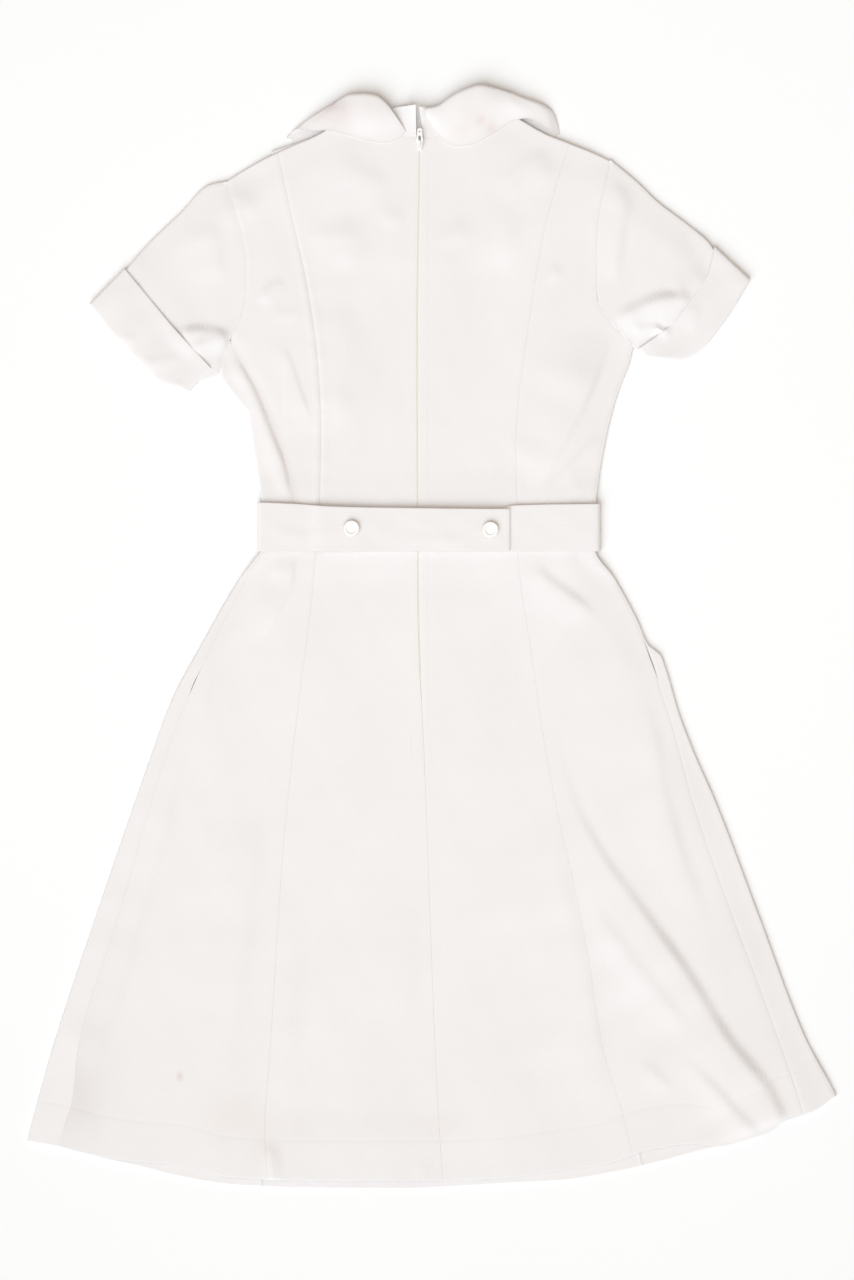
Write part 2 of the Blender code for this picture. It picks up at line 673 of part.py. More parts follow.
def sleeve(side, top_rows, under_rows, end_rows):
    """A sleeve whose columns start where the rows of the body meet the armhole."""
    away = AWAY[side]
    shoulder = top_rows[0][1]
    heights = [mix(shoulder, STATIONS[-1], k / TOP_ROWS) for k in range(TOP_ROWS)]
    heights += [y for y in reversed(STATIONS) if y > UNDERARM] + [under_rows[0][1]]
    arm = [(float(armhole[side](y)) + away * SEAM / 2, y) for y in heights[:-1]]
    arm.append((float(fold_middle(side, UNDERARM)) + away * SEAM, heights[-1]))
    lengths = [math.dist(a, b) for a, b in zip(arm, arm[1:])]
    spread = [sum(lengths[:k]) / sum(lengths) for k in range(len(arm))]
    upper, lower = [arm[0]] + top_rows[1:], [arm[-1]] + under_rows[1:]
    patch = between(path(arm), path(end_rows), path(upper), path(lower))
    flat_tube("sleeve_" + side, patch, 8, spread, 3, low_z, top_z)


def cuff(side, inner_rows, outer_rows):
    top_side = path([inner_rows[0], outer_rows[0]])
    under_side = path([inner_rows[-1], outer_rows[-1]])
    patch = between(path(inner_rows), path(outer_rows), top_side, under_side)
    floor = lambda x, y: np.full(np.shape(x), HALF)
    level = HALF + 2 * (CLOTH + REST) + CLOTH + LAYER_GAP
    crown = lambda x, y: np.full(np.shape(x), level)
    flat_tube("cuff_" + side, patch, 3, np.linspace(0, 1, 8), 4, floor, crown)


# Collar

def along_line(xs, ys, t):
    """The point at a fraction of the way along a line of points."""
    steps = np.concatenate([[0], np.cumsum(np.hypot(np.diff(xs), np.diff(ys)))])
    return np.interp(t * steps[-1], steps, xs), np.interp(t * steps[-1], steps, ys)


def collar_lines(side):
    """Every line across the collar with its turn: 0 on the back and pi on the front."""
    left = lambda y: front_centre_edge("left", y)
    right = lambda y: front_centre_edge("right", y)
    xs, ys = edge_points(left, right, FRONT_SPREAD, neck_front)
    middle = lambda y: centre_edge(side, y)
    inner = lambda y: princess_edge(side, y)
    back_xs, back_ys = edge_points(middle, inner, CENTRE_SPREAD[side], top_edge)
    order = np.argsort(back_xs)
    lines = []
    for row in COLLAR_BACK[side]:
        seams = np.interp(row.neck_x, back_xs[order], back_ys[order]), np.interp(row.neck_x, xs, ys)
        lines.append((CollarLine(row.neck_x, float(max(seams)) + NECK_GAP, *row[1:]), 0.0))

    columns = FRONT_NECK_COLUMNS[side]
    front = []
    for row in COLLAR_FRONT[side]:
        x, y = along_line(xs[columns], ys[columns], row.along)
        reach = np.array([NECK_CENTRE[0] - x, NECK_CENTRE[1] - y])
        reach /= np.hypot(*reach)
        if row.along == 1.0:
            x, reach = x + AWAY[side] * SEAM / 2, np.array([0.0, 1.0])
        neck, stand, roll = (np.array([x, y]) + reach * d for d in (SEAM, FRONT_STAND, FRONT_ROLL))
        front.append((CollarLine(*neck, *stand, *roll, row.edge_x, row.edge_y, 0.9), math.pi))

    shoulder = lines[-1][0]
    lines += [(shoulder, math.pi * k / SHOULDER_TURNS) for k in range(1, SHOULDER_TURNS + 1)]
    return lines + front


def between_layers(top, low, turn):
    """The height of a wall that turns from the back's level to the front's."""
    return (top + low) / 2 + (top - low) / 2 * math.cos(turn)


def collar_stand(side):
    """The stand: a band from the neck seam up to the roll, right round the neck."""
    lines = collar_lines(side)
    steps = 2

    def place(column, row):
        x, y, z = (np.zeros(np.shape(column)) for _ in range(3))
        for k in range(len(column)):
            line, turn = lines[column[k]]
            t = row[k] / steps
            x[k] = mix(line.neck_x, line.stand_x, t)
            y[k] = mix(line.neck_y, line.stand_y, t)
            high, low = top_z(x[k], y[k]), low_z(x[k], y[k])
            z[k] = between_layers(high, low, turn)
            x[k] += AWAY[side] * (high - low) / 2 * math.sin(turn)
        return x, y, z

    return sheet("collar_stand_" + side, len(lines) - 1, steps, place, CLOTH, KNIT)


def collar_fall(side):
    """The fall: from the top of the stand over the roll and down to the outer edge."""
    lines = collar_lines(side)
    roll_steps, fall_steps = 4, 5

    def place(column, row):
        x, y, z = (np.zeros(np.shape(column)) for _ in range(3))
        for k in range(len(column)):
            line, turn = lines[column[k]]
            across = np.array([line.edge_x - line.roll_x, line.edge_y - line.roll_y])
            across /= np.hypot(*across)
            outward = np.array([-across[1], across[0]]) * AWAY[side]
            stand_back = float(top_z(line.stand_x, line.stand_y))
            roll_back = stand_back + 2 * (line.roll + HALF)
            edge_back = float(top_z(line.edge_x, line.edge_y)) + CLOTH + REST + 0.5
            stand = between_layers(stand_back, float(low_z(line.stand_x, line.stand_y)), turn)
            start = between_layers(roll_back, HALF, turn)
            edge = between_layers(edge_back, HALF, turn)
            radius = abs(start - stand) / 2
            centre = np.array([line.roll_x, line.roll_y]) + across * (radius + HALF)
            if row[k] <= roll_steps:
                angle = math.pi * row[k] / roll_steps
                spot = centre - across * radius * math.sin(angle)
                z[k] = mix(stand, start, (1 - math.cos(angle)) / 2)
                t = 0.0
            else:
                t = (row[k] - roll_steps) / fall_steps
                spot = mix(centre, np.array([line.edge_x, line.edge_y]), t)
                z[k] = mix(start, edge, float(ease(t)))
            reach = (mix(roll_back, edge_back, t) - HALF) / 2 * math.sin(turn)
            x[k], y[k] = spot + outward * reach
        return x, y, z

    rows = roll_steps + fall_steps
    return sheet("collar_" + side, len(lines) - 1, rows, place, CLOTH, KNIT)


# Pockets

def pocket(side):
    """A pocket bag, flat between the front and the back, hung from the side seam."""
    away = AWAY[side]

    def place(column, row):
        v = row / 7
        y = mix(POCKET_BOTTOM, POCKET_TOP, v)
        depth = POCKET_DEPTH * (1 - 0.35 * (2 * v - 1) ** 4)
        start = outline[side](y) - away * POCKET_INSET
        x = start - away * depth * column / 4
        z = low_z(x, y) + HALF + REST + POCKET / 2
        return x, y, z

    return sheet("pocket_" + side, 4, 7, place, POCKET, KNIT_INSIDE)


# Belt and its buttons

belt_top = curve([(-170, 130), (-130, 128.3), (-97, 125.8), (-13, 124.2), (76, 123.4), (200, 123.4)])
belt_under_top = curve([(-110, 121), (60, 122.5), (80, 127), (165, 128.5)])
BELT_BOTTOM = 82.6


def belt_line():
    """The belt's run from its hidden end, right round the waist, to its buttoned end."""
    floor = BELT / 2
    radius = (BELT_LEVEL - floor) / 2
    middle = (BELT_LEVEL + floor) / 2
    right, left = BELT_RIGHT - radius - BELT / 2, BELT_LEFT + radius + BELT / 2
    over = BELT_LEVEL + BELT + REST
    points = [(x, BELT_LEVEL, "under") for x in np.linspace(BELT_UNDER_END, right, 9)]
    for k in range(1, 6):
        angle = math.pi * k / 6
        points.append((right + radius * math.sin(angle), middle + radius * math.cos(angle), "under"))
    points += [(x, floor, "floor") for x in np.linspace(right, left, 11)]
    for k in range(1, 6):
        angle = math.pi * k / 6
        points.append((left - radius * math.sin(angle), middle - radius * math.cos(angle), "top"))
    rise = BELT_UNDER_END - 3
    for x in (left, left + 12, left + 24, rise - 12):
        points.append((x, BELT_LEVEL, "top"))
    points.append((rise - 6, mix(BELT_LEVEL, over, 0.5), "top"))
    points += [(x, over, "top") for x in np.linspace(rise, BELT_TOP_END, 9)]
    return points


def belt():
    line = belt_line()
    steps = 3

    def place(column, row):
        x = np.array([line[c][0] for c in column], dtype=float)
        z = np.array([line[c][1] for c in column], dtype=float)
        kind = np.array([line[c][2] for c in column])
        upper = np.where(kind == "under", belt_under_top(x), belt_top(x))
        return x, mix(BELT_BOTTOM, upper, row / steps), z

    return sheet("belt", len(line) - 1, steps, place, BELT, KNIT)


def belt_button(side):
    """A flat button with a raised rim, turned from its profile."""
    x, y = BUTTON_CENTRES[side]
    radius = BUTTON_DIAMETER / 2
    base = BELT_LEVEL + BELT + REST + BELT / 2 + REST
    high = BUTTON_HEIGHT
    profile = [
        (0.0, high - 0.7), (radius - 2.4, high - 0.7), (radius - 1.7, high - 0.15),
        (radius - 1.0, high), (radius - 0.25, high - 0.4), (radius, high - 1.1),
        (radius - 0.7, 0.5), (3.0, 0.0), (0.0, 0.0),
    ]
    mesh = bpy.data.meshes.new("belt_button_" + side)
    bm = bmesh.new()
    ring = [bm.verts.new((r * MM, 0, h * MM)) for r, h in profile]
    for a, b in zip(ring, ring[1:]):
        bm.edges.new((a, b))
    bmesh.ops.spin(
        bm, geom=bm.verts[:] + bm.edges[:], cent=(0, 0, 0), axis=(0, 0, 1),
        angle=math.tau, steps=20, use_merge=True,
    )
    bmesh.ops.remove_doubles(bm, verts=bm.verts, dist=0.00002)
    bmesh.ops.recalc_face_normals(bm, faces=bm.faces)
    bm.to_mesh(mesh)
    bm.free()
    item = new_object("belt_button_" + side, mesh, BUTTON_FINISH)
    item.location = (x * MM, y * MM, base * MM)
    return item


# Zip

ZIP_STATIONS = [y for y in STATIONS if ZIP_TOP - ZIP_LENGTH < y]


def zip_strip(name, inner, outer, drop_below_back, thickness, finish, top, bottom):
    heights = [bottom] + [y for y in ZIP_STATIONS if y > bottom + 6] + [mix(STATIONS[-1], top, 0.5), top]

    def place(column, row):
        y = np.array(heights)[row]
        x = centre_back(y) + mix(inner, outer, column.astype(float))
        z = top_z(centre_back(y), y) - drop_below_back
        return x, y, z

    return sheet(name, 1, len(heights) - 1, place, thickness, finish)


def zip_closure():
    bottom = ZIP_TOP - ZIP_LENGTH
    below = HALF + REST + TAPE / 2
    for side, away in AWAY.items():
        inner, outer = away * SEAM / 2, away * TAPE_WIDTH
        zip_strip("zip_tape_" + side, inner, outer, below, TAPE, TAPE_FINISH, ZIP_TOP - 1, bottom + 6)
    half = CHAIN_WIDTH / 2
    rise = HALF + REST - 0.25 - CHAIN / 2
    zip_strip("zip_chain", -half, half, rise, CHAIN, CHAIN_FINISH, SLIDER_TOP - 4, bottom + 10)


def cube(bm, low, high):
    """A box between two corners, in millimetres."""
    made = bmesh.ops.create_cube(bm, size=1.0)["verts"]
    for vertex in made:
        for k in range(3):
            vertex.co[k] = (high[k] if vertex.co[k] > 0 else low[k]) * MM
    return made


def boolean(item, cutter, operation):
    change = item.modifiers.new(operation.lower(), "BOOLEAN")
    change.operation = operation
    change.object = cutter
    cutter.hide_render = True
    cutter.display_type = "WIRE"


def cutter_object(name, bm):
    mesh = bpy.data.meshes.new(name)
    bm.to_mesh(mesh)
    bm.free()
    item = bpy.data.objects.new(name, mesh)
    cutter_collection.objects.link(item)
    return item


def slider_levels():
    """Underside of the slider's plate, its top, and the pull's axis."""
    y = mix(SLIDER_BOTTOM, SLIDER_TOP, 0.5)
    under = float(top_z(centre_back(y), y)) + HALF + REST + 0.25
    return under, under + SLIDER, under + SLIDER + PULL_BAR + 0.4


def zip_slider():
    """The slider's plate, wide at its mouth, with a bridge that the pull hangs from."""
    under, over, _ = slider_levels()
    x = float(centre_back(SLIDER_TOP))
    bm = bmesh.new()
    made = cube(bm, (-SLIDER_WIDTH / 2, SLIDER_BOTTOM, under), (SLIDER_WIDTH / 2, SLIDER_TOP, over))
    for vertex in made:
        if vertex.co.y < (SLIDER_BOTTOM + 1) * MM:
            vertex.co.x *= SLIDER_NARROW / SLIDER_WIDTH
        vertex.co.x += x * MM
    mesh = bpy.data.meshes.new("zip_slider")
    bm.to_mesh(mesh)
    bm.free()
    item = new_object("zip_slider", mesh, ENAMEL, smooth=False)
    bevel = item.modifiers.new("soft edges", "BEVEL")
    bevel.width = 0.35 * MM
    bevel.segments = 2
    arch = bmesh.new()
    reach = BRIDGE_FOOT + BRIDGE
    span = [
        (-reach, -BRIDGE_SUNK), (-reach, BRIDGE_CLEAR * 0.6), (-reach + 1.1, BRIDGE_CLEAR + BRIDGE),
        (1.0, BRIDGE_CLEAR + BRIDGE), (BRIDGE_END, BRIDGE_CLEAR * 0.6), (BRIDGE_END, -BRIDGE_SUNK),
        (BRIDGE_END - BRIDGE, -BRIDGE_SUNK), (BRIDGE_END - BRIDGE, BRIDGE_CLEAR * 0.55), (0.7, BRIDGE_CLEAR),
        (-reach + 1.4, BRIDGE_CLEAR), (-BRIDGE_FOOT, BRIDGE_CLEAR * 0.55), (-BRIDGE_FOOT, -BRIDGE_SUNK),
    ]
    side_face = [
        arch.verts.new(((x - BRIDGE_WIDTH / 2) * MM, (PULL_AXIS_Y - 0.6 + dy) * MM, (over + dz) * MM))
        for dy, dz in span
    ]
    face = arch.faces.new(side_face)
    moved = bmesh.ops.extrude_face_region(arch, geom=[face])["geom"]
    for vertex in (g for g in moved if isinstance(g, bmesh.types.BMVert)):
        vertex.co.x += BRIDGE_WIDTH * MM
    bmesh.ops.recalc_face_normals(arch, faces=arch.faces)
    boolean(item, cutter_object("slider_bridge", arch), "UNION")


def zip_pull():
    """The pull tab: a plate with a window round the bridge, a bar to turn on and a hole."""
    _, _, axis_z = slider_levels()
    x = float(centre_back(SLIDER_TOP))
    window_wide, window_long = PULL_WINDOW
    hole_wide, hole_at = PULL_HOLE
    bm = bmesh.new()
    made = cube(bm, (-PULL_WIDE / 2, -PULL_BAR, -PULL / 2), (PULL_WIDE / 2, PULL_LENGTH, PULL / 2))
    far = [v for v in made if v.co.y > 0]
    for vertex in far:
        vertex.co.x *= PULL_NARROW / PULL_WIDE
    corners = [e for e in bm.edges if all(v in far for v in e.verts) and e.verts[0].co.z != e.verts[1].co.z]
    bmesh.ops.bevel(bm, geom=corners, offset=PULL_NARROW * 0.42 * MM, segments=4, affect="EDGES", profile=0.5)
    mesh = bpy.data.meshes.new("zip_pull")
    bm.to_mesh(mesh)
    bm.free()
    item = new_object("zip_pull", mesh, ENAMEL, smooth=False)
    item.location = (x * MM, PULL_AXIS_Y * MM, axis_z * MM)

    opening = bmesh.new()
    cube(opening, (-window_wide / 2, PULL_BAR, -PULL), (window_wide / 2, window_long, PULL))
    cutter = cutter_object("pull_window", opening)
    cutter.location = item.location
    boolean(item, cutter, "DIFFERENCE")

    eye = bmesh.new()
    radius = hole_wide / 2 * MM
    bmesh.ops.create_cone(
        eye, cap_ends=True, segments=16, radius1=radius, radius2=radius, depth=2 * PULL * MM
    )
    cutter = cutter_object("pull_hole", eye)
    cutter.location = (item.location.x, item.location.y + hole_at * MM, item.location.z)
    boolean(item, cutter, "DIFFERENCE")
    return item


for old in list(bpy.data.objects):
    bpy.data.objects.remove(old, do_unlink=True)

dress_collection = bpy.data.collections.new("waitress_dress")
cutter_collection = bpy.data.collections.new("cutters")
bpy.context.scene.collection.children.link(dress_collection)
bpy.context.scene.collection.children.link(cutter_collection)

front_centre()
for which in AWAY:
    back_panels(which)
    front_side(which)
    collar_stand(which)
    collar_fall(which)
    pocket(which)
    belt_button(which)
sleeve("left", SLEEVE_TOP_LEFT, SLEEVE_UNDER_LEFT, SLEEVE_END_LEFT)
sleeve("right", SLEEVE_TOP_RIGHT, SLEEVE_UNDER_RIGHT, SLEEVE_END_RIGHT)
cuff("left", CUFF_INNER_LEFT, CUFF_OUTER_LEFT)
cuff("right", CUFF_INNER_RIGHT, CUFF_OUTER_RIGHT)
belt()
zip_closure()
zip_slider()
zip_pull()
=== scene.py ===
"""The looks of a short-sleeved waitress dress in white double knit, laid flat on its front.

Heights and plan tables are millimetres until a mesh is made. "Left" and "right" are the wearer's,
which are -X and +X here, and the neck points along +Y.
"""

import logging
import math
from contextlib import contextmanager
from dataclasses import dataclass, field
from enum import Enum
from functools import partial
from typing import Callable, Iterator, Optional, Sequence, Union

import bpy
import numpy as np
from mathutils import Matrix, Vector


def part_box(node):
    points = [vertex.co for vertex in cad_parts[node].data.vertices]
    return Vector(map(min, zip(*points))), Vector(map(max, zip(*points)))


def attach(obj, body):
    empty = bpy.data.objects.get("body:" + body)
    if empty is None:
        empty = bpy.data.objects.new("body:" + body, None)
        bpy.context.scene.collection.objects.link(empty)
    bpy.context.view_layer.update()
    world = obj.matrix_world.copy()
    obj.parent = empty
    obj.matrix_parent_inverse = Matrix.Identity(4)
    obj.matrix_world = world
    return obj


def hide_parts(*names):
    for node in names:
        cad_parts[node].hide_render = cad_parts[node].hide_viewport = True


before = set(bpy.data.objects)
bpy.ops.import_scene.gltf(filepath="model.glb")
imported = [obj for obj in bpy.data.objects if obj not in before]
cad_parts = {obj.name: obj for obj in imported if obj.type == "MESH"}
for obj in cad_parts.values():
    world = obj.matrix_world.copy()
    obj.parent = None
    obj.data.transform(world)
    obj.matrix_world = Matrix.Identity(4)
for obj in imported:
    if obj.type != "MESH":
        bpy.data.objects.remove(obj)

Array = np.ndarray
Line = Callable[[Array], Array]
Level = Callable[[Array, Array], Array]
Rows = Sequence[tuple[float, float]]
Piece = bpy.types.Object
Material = bpy.types.Material

log = logging.getLogger("dress")

MM = 0.001
CLOTH = 1.5  # wall that the solids give the cloth
KNIT = 1.3  # wall of the knit itself
SEAM = 0.03  # gap between two pieces that are sewn together
NECK_GAP = -0.25  # from the neck edge to the collar's seam, along Y
REST = 0.3  # gap below a piece that lies on another
LAYER_GAP = 0.6  # gap between front and back
PUFF = 2.0  # height of the air that lifts the back
EDGE_PUFF = 0.3  # how much of it is there at the folded sides
PUFF_WIDTH = 34.0  # how far inside them it is whole
HALF = CLOTH / 2
HEM_DEPTH = 39.0
RETURN_WIDTH = 26.0  # usual width of the side front's return over the back

ZIP_TOP = 482.0
ZIP_LENGTH = 610.0
ZIP_SLOT = 1.2  # gap between the backs where the coil shows
ZIP_SLOT_FOOT = 0.08  # and where they meet over its foot
BELT_CENTRE = 106.0
BELT_WIDTH = 45.0
BELT = 2.0
BELT_MARGIN = 3.0
UNDERARM = 286.0
HEM_STATION = -360.0
CROWN_STATION = 410.0
EDGE_STEPS = (0.0, 0.4, 0.9, 1.6, 2.6, 4.2, 6.5)  # columns beside a seam, from its edge
EDGE_SHADE_REACH = 0.9  # how far the shade painted at a raw edge reaches
SHADE_WAY = (0.55, 0.83)  # plan direction away from the main light


# The plan of every seam and edge

CENTRE_BACK = [(-530, 11), (-427, 5), (-128, -6.5), (36, -13), (296, -14), (400, -12.8), (487, -11.3)]
PRINCESS_LEFT = [
    (-530, -158), (-471, -161), (-417, -157), (-186, -141.5), (-62, -128), (33, -116),
    (84, -111.5), (135, -108), (204, -107), (265, -110), (335, -119.5), (410, -136), (480, -151),
]
PRINCESS_RIGHT = [
    (-530, 202), (-455, 183), (-389, 163.5), (-312, 152), (-121, 112.5), (-15, 96.5),
    (81, 83.5), (143, 82), (188, 81.5), (227, 84), (296, 93), (393, 109), (480, 134),
]
SIDE_SEAM_LEFT = [
    (-520, -364), (-474, -355), (-444, -346), (-408, -342.5), (-259, -299), (-109, -254.5),
    (-61, -236), (-47, -230), (-26, -220.5), (2, -207), (34, -190.5), (68, -173), (84, -160),
    (106, -146), (131, -133.5), (150, -136.5), (173, -142.5), (207, -155), (239, -169),
    (265, -184), (286, -195),
]
SIDE_SEAM_RIGHT = [
    (-520, 375), (-440, 352.5), (-389, 335), (-157, 251.5), (-82, 231), (-47, 219.5), (-40, 218),
    (-18, 210), (4, 203), (17, 197), (57, 174), (84, 155.5), (106, 154.5), (131, 156), (149, 159),
    (177, 163.5), (212, 171), (239, 179), (265, 189), (286, 193),
]
ARMHOLE_LEFT = [
    (286, -195), (313, -183), (339, -179.5), (363, -179.5), (387, -183), (410, -189.5), (442, -199),
]
ARMHOLE_RIGHT = [
    (286, 193), (292, 184), (311, 168), (329, 159.5), (366, 159), (391, 159.5), (422, 164),
    (438, 168), (462, 172.5),
]
OUTLINE_LEFT = [
    (-520, -400), (-487, -391), (-408, -369.5), (-254, -319), (-109, -269), (-78, -258),
    (-48, -245), (-28, -234), (-4, -220.5), (26, -204), (57, -185), (76, -170.5), (84, -164.5),
    (106, -163.5), (133, -164.5), (166, -169), (196, -173.5), (215, -176.5), (230, -188),
    (246, -200), (254, -204), (265, -204.5), (286, -198),
]
OUTLINE_RIGHT = [
    (-520, 417), (-443, 391), (-389, 362.5), (-270, 317), (-157, 274), (-114, 255), (-72, 239),
    (-28, 226), (-16, 221), (-10, 212), (17, 199), (57, 177), (84, 158.5), (106, 157.5),
    (131, 159), (149, 161.5), (177, 166), (212, 173.5), (239, 181.5), (265, 191.5), (286, 196.4),
]
HEM_BACK = [
    (-400, -485), (-391, -486.5), (-359, -492), (-327, -500), (-293, -505.5), (-237, -510.5),
    (-197, -521), (-148, -524), (-84, -525), (-4, -525), (58, -523), (124, -515), (171, -508),
    (208, -495.5), (253, -489), (276, -492), (305, -484.5), (327, -476.5), (339, -467),
    (372, -455.5), (391, -443), (410, -436),
]
HEM_FRONT = [
    (-400, -485), (-391, -486.5), (-359, -492.5), (-308, -506), (-282, -511.5), (-246, -520.5),
    (-193, -529), (-127, -532), (-31, -532.8), (76, -527.5), (124, -525), (171, -518), (219, -507),
    (265, -495), (305, -486), (339, -469), (372, -457), (391, -443), (410, -436),
]
TOP_EDGE = [
    (-205, 436), (-199, 440), (-183, 450), (-161, 462), (-139, 472.5), (-111, 484.5), (-86, 497),
    (-60, 487), (-35, 483), (-15, 482), (-8, 482), (20, 484), (45, 492), (71, 508.5), (84, 501),
    (109, 486.5), (134, 476.5), (170, 461.5), (178, 457),
]
NECK_FRONT = [
    (-151, 470), (-111, 484.5), (-86, 497), (-81, 470), (-62, 443), (-36, 428), (-7, 423),
    (22, 428), (48, 446), (66, 476), (71, 508.5), (84, 501), (109, 486.5), (140, 474.5),
]
NECK_POINTS = (-86.0, 71.0)
CENTRE_SPREAD = {
    "left": [0, 0.13, 0.26, 0.39, 0.515, 0.75, 1],
    "right": [0, 0.13, 0.27, 0.4, 0.538, 0.76, 1],
}
FRONT_SPREAD = [0, 0.12, 0.243, 0.265, 0.33, 0.5, 0.67, 0.735, 0.757, 0.88, 1]
FRONT_NECK_COLUMNS = {"left": [2, 3, 4, 5], "right": [8, 7, 6, 5]}
FRONT_SEAM_SHIFT = 6.0

SLEEVE_TOP_LEFT = [
    (-199, 441), (-213.5, 438), (-243, 410), (-277, 377), (-294.5, 356), (-300, 349.5), (-327, 321),
]
SLEEVE_UNDER_LEFT = [
    (-194, 286.7), (-198.5, 280), (-202, 268), (-203.5, 259.5), (-208, 253.5), (-220, 248), (-240, 243),
]
SLEEVE_END_LEFT = [(-327, 321), (-301, 290.5), (-279, 267.5), (-266, 254), (-254, 247), (-240, 243)]
SLEEVE_TOP_RIGHT = [
    (172.5, 462), (197.5, 441.5), (219, 421), (247, 400), (268.5, 381), (276, 370), (305, 345),
]
SLEEVE_UNDER_RIGHT = [(192.5, 286.7), (195.5, 281.5), (199, 278), (205, 275.5), (212, 274.5)]
SLEEVE_END_RIGHT = [(305, 345), (276, 302), (255.5, 280), (241, 272.5), (226, 272.5), (212, 274.5)]
CUFF_INNER_LEFT = [(-297, 356.5), (-266, 319), (-249, 298.5), (-229, 277), (-212, 258.5)]
CUFF_OUTER_LEFT = [(-331, 322), (-304, 288.5), (-282, 265.5), (-269, 250.5), (-256, 243), (-234, 237)]
CUFF_INNER_RIGHT = [(273, 378.5), (267, 352), (251.5, 328), (231.5, 302), (214, 288), (199, 277.5)]
CUFF_OUTER_RIGHT = [(308.5, 346), (278, 298.5), (256, 274), (239, 266.5), (222, 268), (204, 272.5)]
# Each row: inner corner of a cuff and the unit way out along the sleeve
CUFF_ZONES = [(-296, 354, -0.748, -0.667), (271.5, 375, 0.824, -0.567)]
COLLAR_ZONE = (-8.0, 505.0, 135.0, 118.0)


class Side(Enum):
    """A side of the wearer."""

    LEFT = "left"
    RIGHT = "right"

    @property
    def away(self) -> float:
        """-1 where this side lies along -X, 1 along +X."""
        return -1.0 if self is Side.LEFT else 1.0


def both(left: object, right: object) -> dict:
    """A value for each side."""
    return {Side.LEFT: left, Side.RIGHT: right}


def sides(left: object, right: object) -> dict:
    """A dataclass field with a value for each side."""
    return field(default_factory=partial(both, left, right))


def running_total(steps: Array) -> Array:
    """Sums from 0 along a row of steps."""
    return np.concatenate([[0], np.cumsum(steps)])


def ease(t: Array) -> Array:
    """0 below 0, 1 above 1 and smooth between."""
    t = np.clip(t, 0, 1)
    return t * t * (3 - 2 * t)


def step_lengths(axis: int, *values: Array) -> Array:
    """Distances between neighbouring points along one axis of a grid."""
    return np.sqrt(sum(np.diff(value, axis=axis) ** 2 for value in values))


def bell(t: Array) -> Array:
    """1 at 0, and falling away smoothly on both sides."""
    return np.exp(-(t ** 2))


def mix(a: Array, b: Array, t: Array) -> Array:
    """The value a fraction t of the way from a to b."""
    return a + (b - a) * t


class Curve:
    """A smooth function through rows (along, across) that never swings past them."""

    def __init__(self, rows: Rows) -> None:
        """Works out the slope at every row.

        Args:
            rows: (along, across) pairs, along rising.
        """
        table = np.array(rows, dtype=float)
        self.along, self.across = table[:, 0], table[:, 1]
        self.step = np.diff(self.along)
        rise = np.diff(self.across) / self.step
        self.slope = np.zeros(len(self.along))
        self.slope[0], self.slope[-1] = rise[0], rise[-1]
        for k in range(1, len(self.along) - 1):
            if rise[k - 1] * rise[k] > 0:
                before = 2 * self.step[k] + self.step[k - 1]
                after = self.step[k] + 2 * self.step[k - 1]
                self.slope[k] = (before + after) / (before / rise[k - 1] + after / rise[k])

    def __call__(self, at: Array) -> Array:
        """The value at a place, carried on straight past the ends.

        Args:
            at: one place or many.

        Returns:
            The values there.
        """
        at = np.asarray(at, dtype=float)
        k = np.clip(np.searchsorted(self.along, at) - 1, 0, len(self.step) - 1)
        t = (at - self.along[k]) / self.step[k]
        inside = np.clip(t, 0, 1)
        t2, t3 = inside * inside, inside ** 3
        result = (
            (2 * t3 - 3 * t2 + 1) * self.across[k]
            + (t3 - 2 * t2 + inside) * self.step[k] * self.slope[k]
            + (3 * t2 - 2 * t3) * self.across[k + 1]
            + (t3 - t2) * self.step[k] * self.slope[k + 1]
        )
        end_slope = np.where(t < 0, self.slope[k], self.slope[k + 1])
        return result + (t - inside) * self.step[k] * end_slope


class PlanPath:
    """A smooth plan curve through rows (x, y), as a function of 0 to 1 along its length."""

    def __init__(self, rows: Rows) -> None:
        """Measures the rows and fits both coordinates.

        Args:
            rows: (x, y) pairs.
        """
        points = np.array(rows, dtype=float)
        lengths = running_total(np.hypot(*np.diff(points, axis=0).T))
        self.length = float(lengths[-1])
        self.x = Curve(list(zip(lengths / self.length, points[:, 0])))
        self.y = Curve(list(zip(lengths / self.length, points[:, 1])))

    def __call__(self, t: Array) -> tuple[Array, Array]:
        """The plan point at a fraction t of the length."""
        return self.x(t), self.y(t)


def distance_to_line(x: Array, y: Array, line: Rows) -> Array:
    """Distance from each point to a line.

    Args:
        x, y: the points.
        line: (x, y) rows.

    Returns:
        The distances.
    """
    best = np.full(np.shape(x), 1e9)
    for (x0, y0), (x1, y1) in zip(line, line[1:]):
        dx, dy = x1 - x0, y1 - y0
        t = np.clip(((x - x0) * dx + (y - y0) * dy) / (dx * dx + dy * dy), 0, 1)
        best = np.minimum(best, np.hypot(x - x0 - t * dx, y - y0 - t * dy))
    return best


